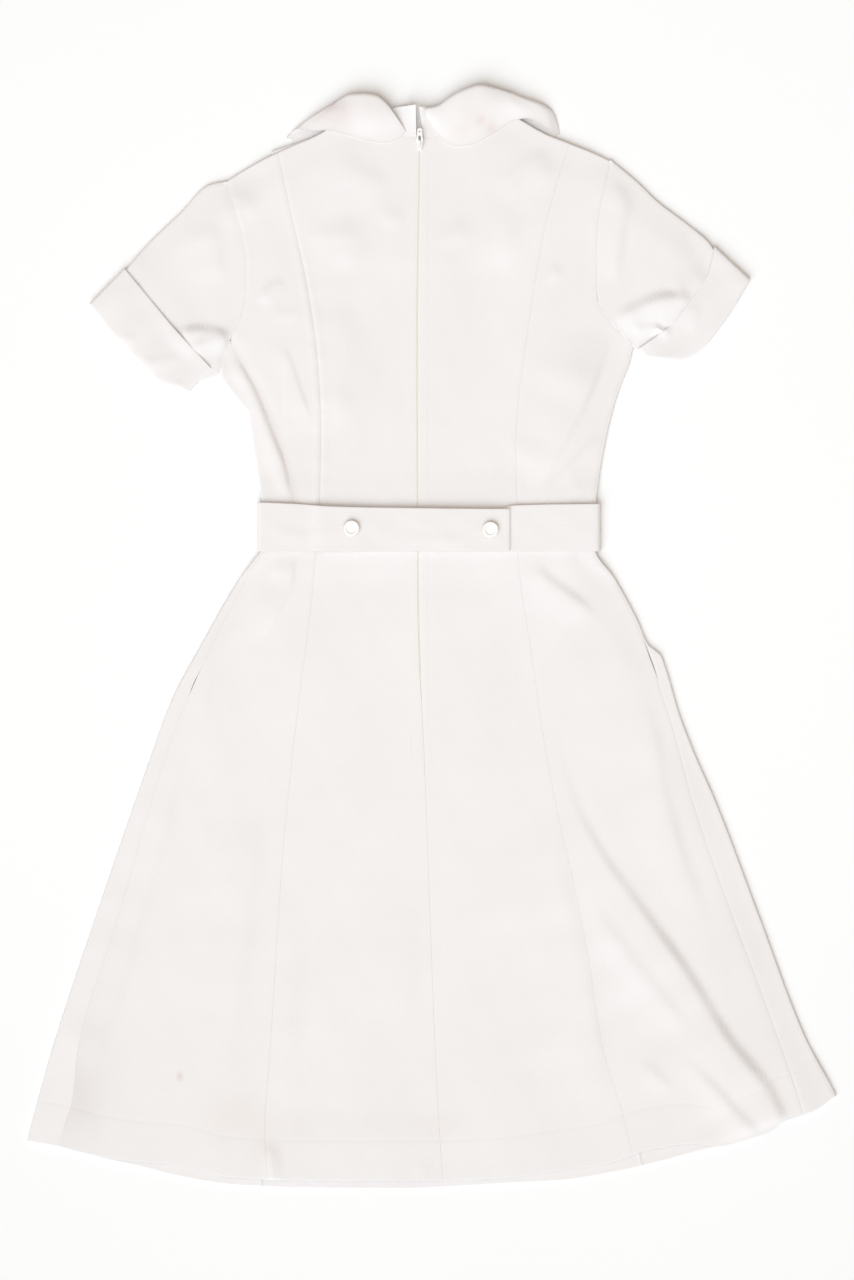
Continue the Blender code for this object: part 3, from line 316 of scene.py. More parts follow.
@dataclass(frozen=True)
class Crease:
    """An uneven soft ridge, or a trough where the height is negative.

    The line is where the crease is steepest, on its side away from the light.
    """

    line: tuple[tuple[float, float], ...]
    steep: float
    gentle: float
    height: float
    rise: float = 0.3  # part of the length over which it grows from nothing
    fall: float = 0.3

    def at(self, x: Array, y: Array) -> Array:
        """Height that the crease adds.

        Args:
            x, y: plan points.

        Returns:
            The heights, 0 away from the crease.
        """
        height = np.zeros(np.shape(x))
        reach = 3 * max(self.steep, self.gentle)
        xs, ys = zip(*self.line)
        near = (x > min(xs) - reach) & (x < max(xs) + reach) & (y > min(ys) - reach) & (y < max(ys) + reach)
        if not near.any():
            return height
        px, py = x[near], y[near]
        path = PlanPath(self.line)
        steps = max(6, int(path.length / 8))
        lx, ly = path(np.linspace(0, 1, steps + 1))
        chord = np.array([-(ly[-1] - ly[0]), lx[-1] - lx[0]])
        if chord @ np.array(SHADE_WAY) < 0:
            chord = -chord
        best, across, along = np.full(px.shape, 1e9), np.zeros(px.shape), np.zeros(px.shape)
        for k in range(steps):
            dx, dy = lx[k + 1] - lx[k], ly[k + 1] - ly[k]
            size = math.hypot(dx, dy)
            raw = ((px - lx[k]) * dx + (py - ly[k]) * dy) / size ** 2
            t = np.clip(raw, 0, 1)
            away = np.hypot(px - lx[k] - t * dx, py - ly[k] - t * dy)
            nx, ny = -dy / size, dx / size
            if nx * chord[0] + ny * chord[1] < 0:
                nx, ny = -nx, -ny
            signed = (px - lx[k]) * nx + (py - ly[k]) * ny
            nearer = away < best
            best = np.where(nearer, away, best)
            across = np.where(nearer, np.sign(signed) * away, across)
            along = np.where(nearer, (k + t) / steps, along)
        place = along * path.length
        swing = 1 + 0.14 * np.sin(place / 19 + self.steep) + 0.07 * np.sin(place / 7.3)
        steep, gentle = self.steep * (1.08 - 0.08 * swing), self.gentle * swing * 1.6
        shift = steep / math.sqrt(2)
        if self.height > 0:
            offset = across + shift
            width = np.where(offset > 0, steep, gentle)
        else:
            offset = across - shift
            width = np.where(offset < 0, steep, gentle)
        fade = ease(along / max(self.rise, 0.01)) * ease((1 - along) / max(self.fall, 0.01))
        past = ease(1 - (best - np.abs(across)) / 1.0)
        height[near] = self.height * swing * fade * past * bell(offset / width)
        return height


CREASES = [
    # back of the bodice, left
    Crease(((-170, 322), (-161, 335), (-151, 342), (-139, 344)), 3.2, 7, 1.3),
    Crease(((-159, 317), (-141, 315), (-123, 316)), 3.5, 6, 0.6, 0.4, 0.4),
    Crease(((-147, 289), (-135, 264), (-127, 240), (-116, 214), (-109, 206)), 3, 9, 1),
    Crease(((-192, 275), (-170, 236), (-157, 203), (-143, 167), (-136, 132)), 2.4, 6, 1.6, 0.2, 0.02),
    Crease(((-164, 152), (-154, 141), (-145, 130)), 2, 4, 0.7, 0.3, 0.2),
    Crease(((-77, 410), (-72, 383), (-76, 345)), 14, 18, 1.6, 0.4, 0.4),
    Crease(((-76, 325), (-75, 277), (-82, 235), (-73, 198)), 15, 20, 2.0),
    Crease(((-25, 413), (-32, 401), (-40, 390)), 6, 8, 0.8, 0.4, 0.4),
    Crease(((-94, 463), (-67, 453), (-36, 435)), 9, 14, 1.5),
    Crease(((-200, 437), (-179, 426), (-160, 406)), 12, 16, 1.2, 0.4, 0.4),
    Crease(((-212, 404), (-204, 373), (-201, 341)), 8, 12, 1.4),
    # back of the bodice, right
    Crease(((55, 435), (76, 450), (97, 463), (117, 471)), 4, 9, 1.4),
    Crease(((63, 423), (81, 437), (103, 451), (120, 457)), 4, 8, 1),
    Crease(((20, 408), (32, 393), (37, 375)), 11, 12, 1.2, 0.4, 0.4),
    Crease(((74, 431), (80, 393), (78, 341)), 12, 15, 1.2, 0.4, 0.4),
    Crease(((116, 361), (122, 354), (128, 345)), 6, 6, 0.8, 0.4, 0.4),
    Crease(((175, 293), (163, 260), (149, 227), (135, 199), (110, 156), (93, 139)), 5, 20, 3),
    Crease(((163, 199), (147, 182), (136, 170), (118, 149)), 2.6, 6, 1),
    Crease(((136, 151), (144, 144), (152, 137)), 4, 6, 1, 0.4, 0.4),
    Crease(
        ((189, 441), (189, 411), (186, 397), (183, 375), (180, 354), (181, 341)), 4.5, 9, 2.2, 0.25, 0.25
    ),
    Crease(((172, 428), (181, 437)), 2, 3, 0.5, 0.4, 0.4),
    # left sleeve
    Crease(((-247, 296), (-223, 298), (-192, 292)), 2.2, 11, 3.5, 0.25, 0.2),
    Crease(((-236, 278), (-217, 287), (-194, 291)), 1.8, 8, 1.7, 0.25, 0.2),
    # right sleeve
    Crease(((192, 300), (205, 300.5), (218, 299)), 1.6, 5, 1.1, 0.3, 0.2),
    Crease(((213, 301), (220, 299), (225, 294), (225, 289)), 1.2, 3, 2.2, 0.2, 0.2),
    Crease(
        ((171, 304), (178, 309), (190, 316), (204, 323), (219, 328), (233, 330), (251, 324)),
        4.0, 12, 3.8, 0.28, 0.12,
    ),
    Crease(((236, 338), (245, 333), (252, 324)), 2.5, 4, 1.2),
    Crease(((228, 337), (247, 347), (265, 356)), 9, 12, 1.4),
    # skirt, left
    Crease(((-132, 82), (-134, 53), (-142, 34), (-153, 14), (-164, 0), (-174, -11)), 3.2, 9, 1.6, 0.12, 0.4),
    Crease(((-143, 84), (-145, 69), (-147, 51)), 4, 6, 0.8, 0.1, 0.5),
    Crease(((-177, 13), (-191, 0), (-200, -14), (-211, -37), (-218, -66), (-227, -85)), 5, 9, 1),
    Crease(
        (
            (-225, -75), (-238, -114), (-247, -148), (-254, -186), (-266, -225), (-288, -302),
            (-316, -389), (-335, -439),
        ),
        8, 20, 1.8, 0.3, 0.15,
    ),
    Crease(
        ((-158, -148), (-168, -206), (-175, -273), (-182, -341), (-190, -389), (-202, -437)), 11, 22, 1.4
    ),
    Crease(((-124, -234), (-129, -302), (-133, -399), (-137, -466)), 9, 20, 1.1, 0.35, 0.3),
    Crease(((-13, -254), (-18, -331), (-21, -389)), 9, 22, 0.8, 0.4, 0.4),
    Crease(((-150, -488), (-151, -505), (-150, -524)), 1.6, 5, 1.8, 0.35, 0.05),
    Crease(((-4, -504), (-4, -514), (-4, -527)), 1.5, 3, 1, 0.35, 0.05),
    # skirt, right
    Crease(((98, 76), (112, 58), (130, 45), (148, 32), (164, 13)), 5, 10, 1.8, 0.25, 0.35),
    Crease(((202, -50), (218, -98), (226, -147), (242, -206), (259, -254), (273, -297)), 7, 14, 1.5),
    Crease(
        (
            (110, -46), (122, -104), (138, -157), (163, -206), (201, -259), (249, -326),
            (288, -389), (305, -410), (324, -433), (335, -454), (341, -469),
        ),
        5.5, 30, 4.3, 0.75, 0.02,
    ),
    Crease(((151, -248), (188, -300), (215, -335), (242, -368), (261, -395)), 7, 10, 1.2),
    Crease(((240, -399), (259, -419), (276, -436), (296, -459), (316, -478)), 3.5, 9, 1.6, 0.45, 0.04),
    Crease(((199, -404), (216, -418), (238, -440)), 5, 7, 1, 0.4, 0.4),
    Crease(((118, -150), (130, -234), (141, -283), (155, -350), (168, -427), (178, -485)), 9, 34, 1.4),
]
CUFF_CREASES = [
    Crease(((-283, 265), (-267, 268), (-253, 270), (-239, 278)), 3, 6, 1),
    Crease(((-302, 290), (-292, 290), (-282, 289)), 3, 4, 0.8, 0.4, 0.4),
    Crease(((-248, 248), (-237, 242), (-226, 237)), 1.5, 3, 0.5),
    Crease(((258, 322), (257, 308), (252, 291)), 4, 6, 1),
]


def flipped(rows: Rows) -> Rows:
    """The rows with their two values changed over."""
    return [(b, a) for a, b in rows]


@dataclass(frozen=True)
class Lie:
    """How the two layers of the dress lie: heights of the middle of each wall."""

    folded_edges: tuple = (
        tuple(flipped(OUTLINE_LEFT)[:-1] + SLEEVE_UNDER_LEFT[3:5]),
        tuple(flipped(OUTLINE_RIGHT)[:-1] + SLEEVE_UNDER_RIGHT[3:4]),
        tuple(SLEEVE_TOP_LEFT[:6]),
        tuple(SLEEVE_TOP_RIGHT[:6]),
        tuple(TOP_EDGE[1:7]),
        tuple(TOP_EDGE[13:18]),
    )
    fold_width: float = 7.0  # how far inside the folded sides the creases are whole
    least_relief: float = 0.15

    def belt_zone(self, y: Array, ramp: float = 34.0) -> Array:
        """1 where the dress lies under the belt, easing to 0 above and below it."""
        return ease((BELT_WIDTH / 2 + BELT_MARGIN + ramp - np.abs(y - BELT_CENTRE)) / ramp)

    def cuff_zone(self, x: Array, y: Array) -> Array:
        """1 where a sleeve lies inside its turned-up cuff, easing to 0 before it.

        Args:
            x, y: plan points.

        Returns:
            The share of the lift at each point.
        """
        zone = np.zeros(np.shape(x))
        for corner_x, corner_y, out_x, out_y in CUFF_ZONES:
            along = (x - corner_x) * out_x + (y - corner_y) * out_y
            beyond = ease((np.sign(out_x) * x - 188) / 22)
            zone = np.maximum(zone, ease((along + 34) / 27) * beyond)
        return zone * ease((y - 150) / 50)

    def collar_zone(self, x: Array, y: Array) -> Array:
        """1 where the front lies on the collar, easing to 0 outside it."""
        cx, cy, wide, high = COLLAR_ZONE
        return ease((1.42 - np.hypot((x - cx) / wide, (y - cy) / high)) / 0.25)

    def front(self, x: Array, y: Array) -> Array:
        """Height of the front, which lies on the floor or on the belt, cuffs and collar.

        Args:
            x, y: plan points.

        Returns:
            Heights of the middle of the wall.
        """
        x, y = np.broadcast_arrays(np.asarray(x, float), np.asarray(y, float))
        on_cloth = np.maximum(self.cuff_zone(x, y), self.collar_zone(x, y)) * (CLOTH + REST)
        return HALF + on_cloth + self.belt_zone(y) * (BELT + REST)

    def from_fold(self, x: Array, y: Array) -> Array:
        """Distance from the folded sides of the garment and the cuffs."""
        return np.minimum.reduce([distance_to_line(x, y, edge) for edge in self.folded_edges])

    def waver(self, x: Array, y: Array) -> Array:
        """The slow unevenness of knit that lies loose.

        Args:
            x, y: plan points.

        Returns:
            Heights added to the puff.
        """
        slow = np.sin(0.013 * y + 0.4)
        return (
            0.34 * np.sin(0.046 * x + 0.008 * y + 1.3 + slow)
            + 0.26 * np.sin(-0.021 * x + 0.037 * y + 0.4)
            + 0.12 * np.sin(0.093 * x - 0.024 * y + 2.0 + 1.4 * slow)
            + 0.04 * np.sin(0.16 * x + 0.07 * y)
        )

    def back(self, x: Array, y: Array) -> Array:
        """Height of the back, which lies on the front.

        Args:
            x, y: plan points.

        Returns:
            Heights of the middle of the wall.
        """
        x, y = np.broadcast_arrays(np.asarray(x, float), np.asarray(y, float))
        front = self.front(x, y)
        inside = self.from_fold(x, y)
        folds = sum(crease.at(x, y) for crease in CREASES) * ease(inside / self.fold_width)
        puff = mix(EDGE_PUFF, PUFF + self.waver(x, y), ease(inside / PUFF_WIDTH)) - 0.62 * (front - HALF)
        relief = puff + folds * (1 - self.belt_zone(y, 22.0))
        relief = (relief + self.least_relief + np.sqrt((relief - self.least_relief) ** 2 + 0.04)) / 2
        return front + CLOTH + LAYER_GAP + relief


LIE = Lie()


@dataclass(frozen=True)
class SeamRelief:
    """The valley of a seam and the slight roll beside it, with its pucker and the shade painted along it."""

    depth: float = 0.10
    reach: float = 1.3
    roll: float = 0.10
    roll_at: float = 4.0
    roll_reach: float = 2.4
    pucker: float = 0.05
    pucker_reach: float = 6.0
    # how dark the shade painted along the seam's line is, and how far it reaches
    tint: float = 0.6
    tint_reach: float = 0.8
    strength: tuple[tuple[float, float], ...] = ((-600, 1.0), (600, 1.0))  # (place along it, share)

    def at(self, away: Array, along: Array) -> Array:
        """Height beside the seam.

        Args:
            away: distance from the seam.
            along: place along it.

        Returns:
            Height added to the cloth.
        """
        valley = -self.depth * bell(away / self.reach)
        roll = self.roll * bell((away - self.roll_at) / self.roll_reach)
        ruck = np.sin(along / 2.6 + 1.7 * np.sin(along / 11)) + 0.7 * np.sin(along / 5.3 + 0.8)
        pucker = 0.5 * self.pucker * ruck * bell(away / self.pucker_reach)
        relief = valley + roll * (1 + 0.25 * ruck) + pucker
        return relief * Curve(self.strength)(along)

    def painted_shade(self, away: Array, along: Array) -> Array:
        """How much shade is painted on the seam's own line, from 0 to 1."""
        return self.tint * bell(away / self.tint_reach) * Curve(self.strength)(along)


PLAIN_SEAM = SeamRelief()
PRINCESS_SEAMS = {
    Side.LEFT: SeamRelief(
        strength=((-600, 0.2), (0, 0.2), (90, 1.2), (140, 3.0), (340, 2.8), (400, 1.4), (500, 1.0))
    ),
    Side.RIGHT: SeamRelief(strength=((-600, 0.2), (60, 0.2), (140, 0.7), (500, 0.8))),
}
CENTRE_SEAM = SeamRelief(tint=0.2, strength=((-600, 0.1), (-140, 0.2), (-120, 0.8), (500, 0.8)))
SIDE_SEAMS = {
    Side.LEFT: SeamRelief(
        depth=0.32, reach=7.0, roll=0.0, tint=0.9, tint_reach=6.0,
        strength=((-600, 0.15), (60, 0.2), (100, 0.8), (150, 1.8), (250, 2.2), (286, 1.0), (320, 0.3)),
    ),
    Side.RIGHT: SeamRelief(depth=0.12, reach=1.4, roll=0.04, tint=0.8),
}
ARMHOLES = {
    Side.LEFT: SeamRelief(depth=0.12, reach=2.0, roll=0.10, roll_at=5.0, tint=0.3),
    Side.RIGHT: SeamRelief(depth=0.12, reach=2.2, roll=0.05, roll_at=6.0, tint=0.5),
}


@dataclass
class Grid:
    """Points of a sheet of cloth, in millimetres, with their place on the flat cut."""

    x: Array
    y: Array
    z: Array
    u: Array
    v: Array
    closed: bool = False
    keep: Optional[Array] = None
    painted_shade: Optional[Array] = None  # shade painted at each point beside its seams and edges

    def cells(self) -> tuple[Array, Array]:
        """The corners of every cell that is kept.

        Returns:
            Corner numbers among the points, and among the flat places.
        """
        rows, columns = self.x.shape
        flat_columns = self.u.shape[1]
        spans = columns if self.closed else columns - 1
        r, c = np.meshgrid(np.arange(rows - 1), np.arange(spans), indexing="ij")
        after = (c + 1) % columns
        this_row, next_row = r * columns, (r + 1) * columns
        corners = np.stack([this_row + c, this_row + after, next_row + after, next_row + c], -1)
        flat = r * flat_columns + c
        places = np.stack([flat, flat + 1, flat + flat_columns + 1, flat + flat_columns], -1)
        chosen = np.ones(r.shape, bool) if self.keep is None else self.keep
        return corners[chosen], places[chosen]


@contextmanager
def edit_mode() -> Iterator[None]:
    """Keeps the active object in edit mode while a block lasts.

    Returns:
        Nothing that the block needs.
    """
    bpy.ops.object.mode_set(mode="EDIT")
    yield
    bpy.ops.object.mode_set(mode="OBJECT")


def only(item: Piece) -> None:
    """Makes this the one selected and active object.

    Args:
        item: the object.
    """
    bpy.ops.object.select_all(action="DESELECT")
    item.select_set(True)
    bpy.context.view_layer.objects.active = item


def apply_modifier(item: Piece, kind: str, **settings: object) -> None:
    """Adds a modifier and applies it.

    Args:
        item: the object.
        kind: the modifier's type.
        settings: its settings.
    """
    only(item)
    change = item.modifiers.new(kind.lower(), kind)
    for name, value in settings.items():
        setattr(change, name, value)
    bpy.ops.object.modifier_apply(modifier=change.name)


def soften(item: Piece, width: float, segments: int, angle: float = 50.0) -> None:
    """Bevels the edges of a piece.

    Args:
        item: the piece.
        width: of the bevel, in millimetres.
        segments: steps across it.
        angle: degrees that an edge turns by at least.
    """
    apply_modifier(
        item, "BEVEL", width=width * MM, segments=segments, limit_method="ANGLE",
        angle_limit=math.radians(angle),
    )


def smooth(item: Piece, angle: float) -> None:
    """Shades a piece smoothly, apart from edges that turn by more degrees than the angle."""
    item.data.shade_smooth()
    item.data.set_sharp_from_angle(angle=math.radians(angle))


def add(name: str, data: bpy.types.ID) -> Piece:
    """Puts new data into the scene.

    Args:
        name: the object's name.
        data: its mesh, light or camera.

    Returns:
        The object.
    """
    item = bpy.data.objects.new(name, data)
    bpy.context.scene.collection.objects.link(item)
    return item


def sew(name: str, grid: Grid, wall: float, rim: float = 0.0) -> Piece:
    """Makes a sheet of cloth with a wall of its own.

    Args:
        name: the piece's name.
        grid: its middle surface.
        wall: thickness.
        rim: how far its raw edges are rounded, 0 to leave them.

    Returns:
        The piece.
    """
    corners, places = grid.cells()
    used, renumbered = np.unique(corners, return_inverse=True)
    points = np.stack([grid.x.ravel(), grid.y.ravel(), grid.z.ravel()], -1)[used] * MM
    mesh = bpy.data.meshes.new(name)
    mesh.from_pydata(points.tolist(), [], renumbered.reshape(corners.shape).tolist())
    weave = mesh.uv_layers.new(name="weave")
    flat = np.stack([grid.u.ravel(), grid.v.ravel()], -1)[places.ravel()] * MM
    weave.data.foreach_set("uv", flat.ravel())
    item = add(name, mesh)
    # each point's share of the shade painted along seams and edges
    dark = mesh.attributes.new("painted_shade", "FLOAT", "POINT")
    if grid.painted_shade is not None:
        dark.data.foreach_set("value", np.clip(grid.painted_shade.ravel()[used], 0, 4).astype(np.float32))
    apply_modifier(item, "SOLIDIFY", thickness=wall * MM, offset=0.0, use_rim=True)
    if rim:
        soften(item, rim, 1 if rim < 0.3 else 2, 60.0)
    smooth(item, 48.0)
    return item


def dress(item: Piece, material: Material, slot: str, *nodes: str) -> None:
    """Gives a piece its finish and its place in the frame.

    Args:
        item: the piece.
        material: its finish.
        slot: the record's slot of that finish; not used.
        nodes: the solids that it stands for.
    """
    item.data.materials.clear()
    item.data.materials.append(material)
    if nodes:
        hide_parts(*nodes)
    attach(item, "pull_tab" if "pull" in item.name else "dress")
    log.info("%s: %d faces", item.name, len(item.data.polygons))


def lay(item: Piece, material: Material, slot: str = "double_knit") -> None:
    """Dresses a sheet of cloth.

    Args:
        item: the piece, named cloth_ and the solid that it stands for.
        material: its finish.
        slot: the record's slot of that finish.
    """
    node = item.name.removeprefix("cloth_")
    dress(item, material, slot, node)


# Finishes

Number = Union["Strand", float]


def arithmetic(operation: str, swapped: bool = False) -> Callable[..., "Strand"]:
    """Makes a method that does one sum on a strand, with a second number where it has one.

    Args:
        operation: what the Math node does.
        swapped: whether the second number comes first.

    Returns:
        The method.
    """
    def method(self: "Strand", other: Number = 0.0) -> "Strand":
        """The result of the sum."""
        first, second = (other, self) if swapped else (self, other)
        return self.loom.node("ShaderNodeMath", {"operation": operation}, {0: first, 1: second})

    return method


class Strand:
    """A number that runs through a finish's nodes, with ordinary arithmetic."""

    def __init__(self, loom: "Loom", socket: bpy.types.NodeSocket) -> None:
        """Wraps an output socket."""
        self.loom, self.socket = loom, socket

    __add__ = __radd__ = arithmetic("ADD")
    __sub__, __rsub__ = arithmetic("SUBTRACT"), arithmetic("SUBTRACT", True)
    __mul__ = __rmul__ = arithmetic("MULTIPLY")
    __truediv__ = arithmetic("DIVIDE")
    __pow__ = arithmetic("POWER")
    absolute = arithmetic("ABSOLUTE")
    fraction = arithmetic("FRACT")
    cosine = arithmetic("COSINE")
    root = arithmetic("SQRT")
    at_least = arithmetic("MAXIMUM")
    at_most = arithmetic("MINIMUM")

    def limited(self) -> "Strand":
        """Kept between 0 and 1."""
        return self.at_least(0.0).at_most(1.0)


class Loom:
    """The nodes of one finish."""

    def __init__(self, name: str, colour: Sequence[float], roughness: float, **constants: float) -> None:
        """Makes the material with its shader.

        Args:
            name: the finish's name.
            colour: its plain colour.
            roughness: its plain roughness.
            constants: other sockets that are the same all over, by name with _ for spaces.
        """
        self.material = bpy.data.materials.new(name)
        self.material.use_nodes = True
        self.tree = self.material.node_tree
        self.shader = self.tree.nodes["Principled BSDF"]
        self.shader.inputs["Base Color"].default_value = (*colour, 1.0)
        self.shader.inputs["Roughness"].default_value = roughness
        for key, value in constants.items():
            self.shader.inputs[key.replace("_", " ")].default_value = value

    def node(self, kind: str, settings: dict, values: dict, out: Union[int, str] = 0) -> Strand:
        """Adds a node.

        Args:
            kind: its type.
            settings: its own settings, set first.
            values: numbers, colours or links for its sockets.
            out: which output is wanted.

        Returns:
            That output.
        """
        made = self.tree.nodes.new(kind)
        for key, value in settings.items():
            setattr(made, key, value)
        for key, value in values.items():
            if isinstance(value, Strand):
                self.tree.links.new(value.socket, made.inputs[key])
            else:
                made.inputs[key].default_value = value
        return Strand(self, made.outputs[out])

    def blend(self, first: object, second: object, share: Number) -> Strand:
        """A mix of two colours or links, with a share of the second."""
        values = {0: share, 6: first, 7: second}
        return self.node("ShaderNodeMix", {"data_type": "RGBA"}, values, 2)

    def noise(self, where: Strand, scale: float, detail: float = 3.0) -> Strand:
        """Even noise from 0 to 1."""
        return self.node("ShaderNodeTexNoise", {}, {"Vector": where, "Scale": scale, "Detail": detail}, 0)

    def place(self) -> Strand:
        """The place on the piece, in metres."""
        return self.node("ShaderNodeTexCoord", {}, {}, "Object")

    def flat_place(self) -> Strand:
        """The place on the flat cut, in metres."""
        return self.node("ShaderNodeUVMap", {"uv_map": "weave"}, {})

    def split(self, vector: Strand) -> tuple[Strand, Strand, Strand]:
        """The three numbers of a vector.

        Args:
            vector: the vector.

        Returns:
            Its x, y and z.
        """
        parts = self.node("ShaderNodeSeparateXYZ", {}, {0: vector})
        outputs = parts.socket.node.outputs
        return Strand(self, outputs[0]), Strand(self, outputs[1]), Strand(self, outputs[2])

    def feed(self, socket: str, value: Strand) -> None:
        """Links a value to the shader."""
        self.tree.links.new(value.socket, self.shader.inputs[socket])

    def bump(self, height: Strand, distance: float, strength: float) -> None:
        """Raises the surface by a height, where 1 stands for a distance in metres."""
        values = {"Height": height, "Distance": distance, "Strength": strength}
        self.feed("Normal", self.node("ShaderNodeBump", {}, values))


@dataclass(frozen=True)
class ClothMark:
    """A mark on the cloth, a real stain or a patch of painted shade, soft at its edge, in millimetres."""

    x: float
    y: float
    across: float
    along: float
    colour: tuple[float, float, float]
    strength: float
    ragged: float = 0.8


MAKE_UP = (0.75, 0.625, 0.58)
RUST = (0.56, 0.40, 0.32)
AGE = (0.76, 0.67, 0.58)
# colour of the painted shade in broad patches over soft folds and towards the skirt's sides
SHADE_PATCH_COLOUR = (0.70, 0.655, 0.64)
COLLAR_STAINS_AND_SHADE = (
    ClothMark(47.5, 498.5, 7, 6, (0.70, 0.55, 0.51), 0.32),
    ClothMark(57.5, 490.5, 6, 7, (0.71, 0.57, 0.53), 0.30),
    ClothMark(29, 488.5, 11, 9, MAKE_UP, 0.24),
    ClothMark(42, 499, 26, 16, MAKE_UP, 0.22),
    ClothMark(66, 484, 20, 10, MAKE_UP, 0.14),
    # painted shade on the left fall, where it dips near its roll
    ClothMark(-92, 504, 36, 22, (0.70, 0.62, 0.605), 0.5, 0.4),
    ClothMark(-90, 512, 20, 9, (0.62, 0.545, 0.53), 0.4, 0.5),
)
BACK_STAINS_AND_SHADE = (
    ClothMark(-242.8, -424.1, 4.2, 6.2, RUST, 0.3, 0.5),
    ClothMark(-190, -462, 46, 34, AGE, 0.22),
    ClothMark(-160, -498, 22, 26, AGE, 0.18),
    ClothMark(-130, -470, 60, 18, AGE, 0.12),
    ClothMark(-40, -468, 60, 16, AGE, 0.08),
    ClothMark(10, -472, 34, 14, AGE, 0.13),
    ClothMark(225, -408, 44, 40, AGE, 0.06),
    ClothMark(330, -400, 26, 60, AGE, 0.10),
    # patches of painted shade over soft folds of the back and towards the skirt's sides
    ClothMark(-80, 380, 36, 70, SHADE_PATCH_COLOUR, 0.05, 0.5),
    ClothMark(-60, 260, 36, 90, SHADE_PATCH_COLOUR, 0.12, 0.5),
    ClothMark(30, 370, 30, 90, SHADE_PATCH_COLOUR, 0.10, 0.5),
    ClothMark(150, 240, 36, 70, SHADE_PATCH_COLOUR, 0.12, 0.5),
    ClothMark(-345, -300, 50, 150, SHADE_PATCH_COLOUR, 0.25, 0.4),
    ClothMark(-350, -440, 40, 70, SHADE_PATCH_COLOUR, 0.5, 0.4),
    ClothMark(300, -330, 60, 150, SHADE_PATCH_COLOUR, 0.12, 0.4),
)


@dataclass(frozen=True)
class Knit:
    """White double knit: fine wales, a faint fuzz, slow mottling, its stains, and painted shade in its wale
    grooves, along its seams and edges and in patches.
    """

    name: str
    colour: tuple[float, float, float] = (0.845, 0.822, 0.812)
    wale: float = 1.25
    course: float = 1.0
    stains_and_shade: tuple[ClothMark, ...] = ()

    def make(self) -> Material:
        """Builds the finish.

        Returns:
            The material.
        """
        loom = Loom(
            self.name, self.colour, 0.86, Sheen_Weight=0.12, Sheen_Roughness=0.6, Specular_IOR_Level=0.25
        )
        here = loom.place()
        u, v, _ = loom.split(loom.flat_place())
        across = (u / (self.wale * MM)).fraction() - 0.5
        slant = across.absolute()
        loops = ((v / (self.course * MM) + slant * 0.9) * math.tau).cosine() * 0.5 + 0.5
        rib = 1 - (slant * 2) ** 3
        fuzz = loom.noise(here, 2600.0, 2.0)
        lint = loom.noise(here, 520.0, 4.0)
        loom.bump(rib * 0.5 + loops * 0.3 + fuzz * 0.35 + lint * 0.5, 0.00028, 0.45)
        mottle = loom.noise(here, 22.0, 3.0)
        cloudy = loom.noise(here, 5.0, 2.0)
        grey = loom.blend((*self.colour, 1), (0.80, 0.775, 0.762, 1), (mottle * 0.9 - 0.25).limited())
        warm = loom.blend(grey, (0.83, 0.80, 0.775, 1), (cloudy * 1.6 - 0.6).limited())
        # painted shade in the grooves between the wales, with a faint random fleck from the fuzz
        shade = loom.blend(warm, (0.70, 0.66, 0.64, 1), (1 - rib) * 0.10 + fuzz * 0.04)
        # painted shade along the seams and folded edges, as much as each piece's points carry
        seam = loom.node("ShaderNodeAttribute", {"attribute_name": "painted_shade"}, {}, "Fac")
        shade = loom.blend(shade, (0.52, 0.42, 0.36, 1), (seam * 0.10).limited())
        for mark in self.stains_and_shade:
            shade = self.stained_and_shaded(loom, shade, here, mark)
        loom.feed("Base Color", shade)
        loom.feed("Roughness", lint * 0.12 + 0.8)
        return loom.material

    def stained_and_shaded(self, loom: Loom, colour: Strand, here: Strand, mark: ClothMark) -> Strand:
        """Lays one mark over the colour.

        Args:
            loom: the finish's nodes.
            colour: what is there before.
            here: the place on the piece.
            mark: the real stain or patch of painted shade.

        Returns:
            The marked colour.
        """
        x, y, _ = loom.split(here)
        dx = (x - mark.x * MM) / (mark.across * MM)
        dy = (y - mark.y * MM) / (mark.along * MM)
        ragged = loom.noise(here, 900.0 / mark.across, 3.0)
        away = (dx * dx + dy * dy).root() + (ragged - 0.5) * mark.ragged
        share = (1.25 - away).limited() ** 1.5 * mark.strength
        return loom.blend(colour, (*mark.colour, 1), share)


@dataclass(frozen=True)
class Woven:
    """A plain weave, for the pocket bags and the zip tapes."""

    name: str
    colour: tuple[float, float, float]
    thread: float = 0.5
    depth: float = 0.00012

    def make(self) -> Material:
        """Builds the finish.

        Returns:
            The material.
        """
        loom = Loom(self.name, self.colour, 0.9, Specular_IOR_Level=0.2)
        here = loom.place()
        u, v, _ = loom.split(loom.flat_place())
        warp = (u * (math.tau / (self.thread * MM))).cosine()
        weft = (v * (math.tau / (self.thread * MM))).cosine()
        speck = loom.noise(here, 1500.0, 2.0)
        loom.bump(warp * weft * 0.25 + 0.5 + speck * 0.3, self.depth, 0.6)
        darker = tuple(c * 0.86 for c in self.colour)
        patches = (loom.noise(here, 60.0) - 0.3).limited()
        loom.feed("Base Color", loom.blend((*self.colour, 1), (*darker, 1), patches))
        return loom.material


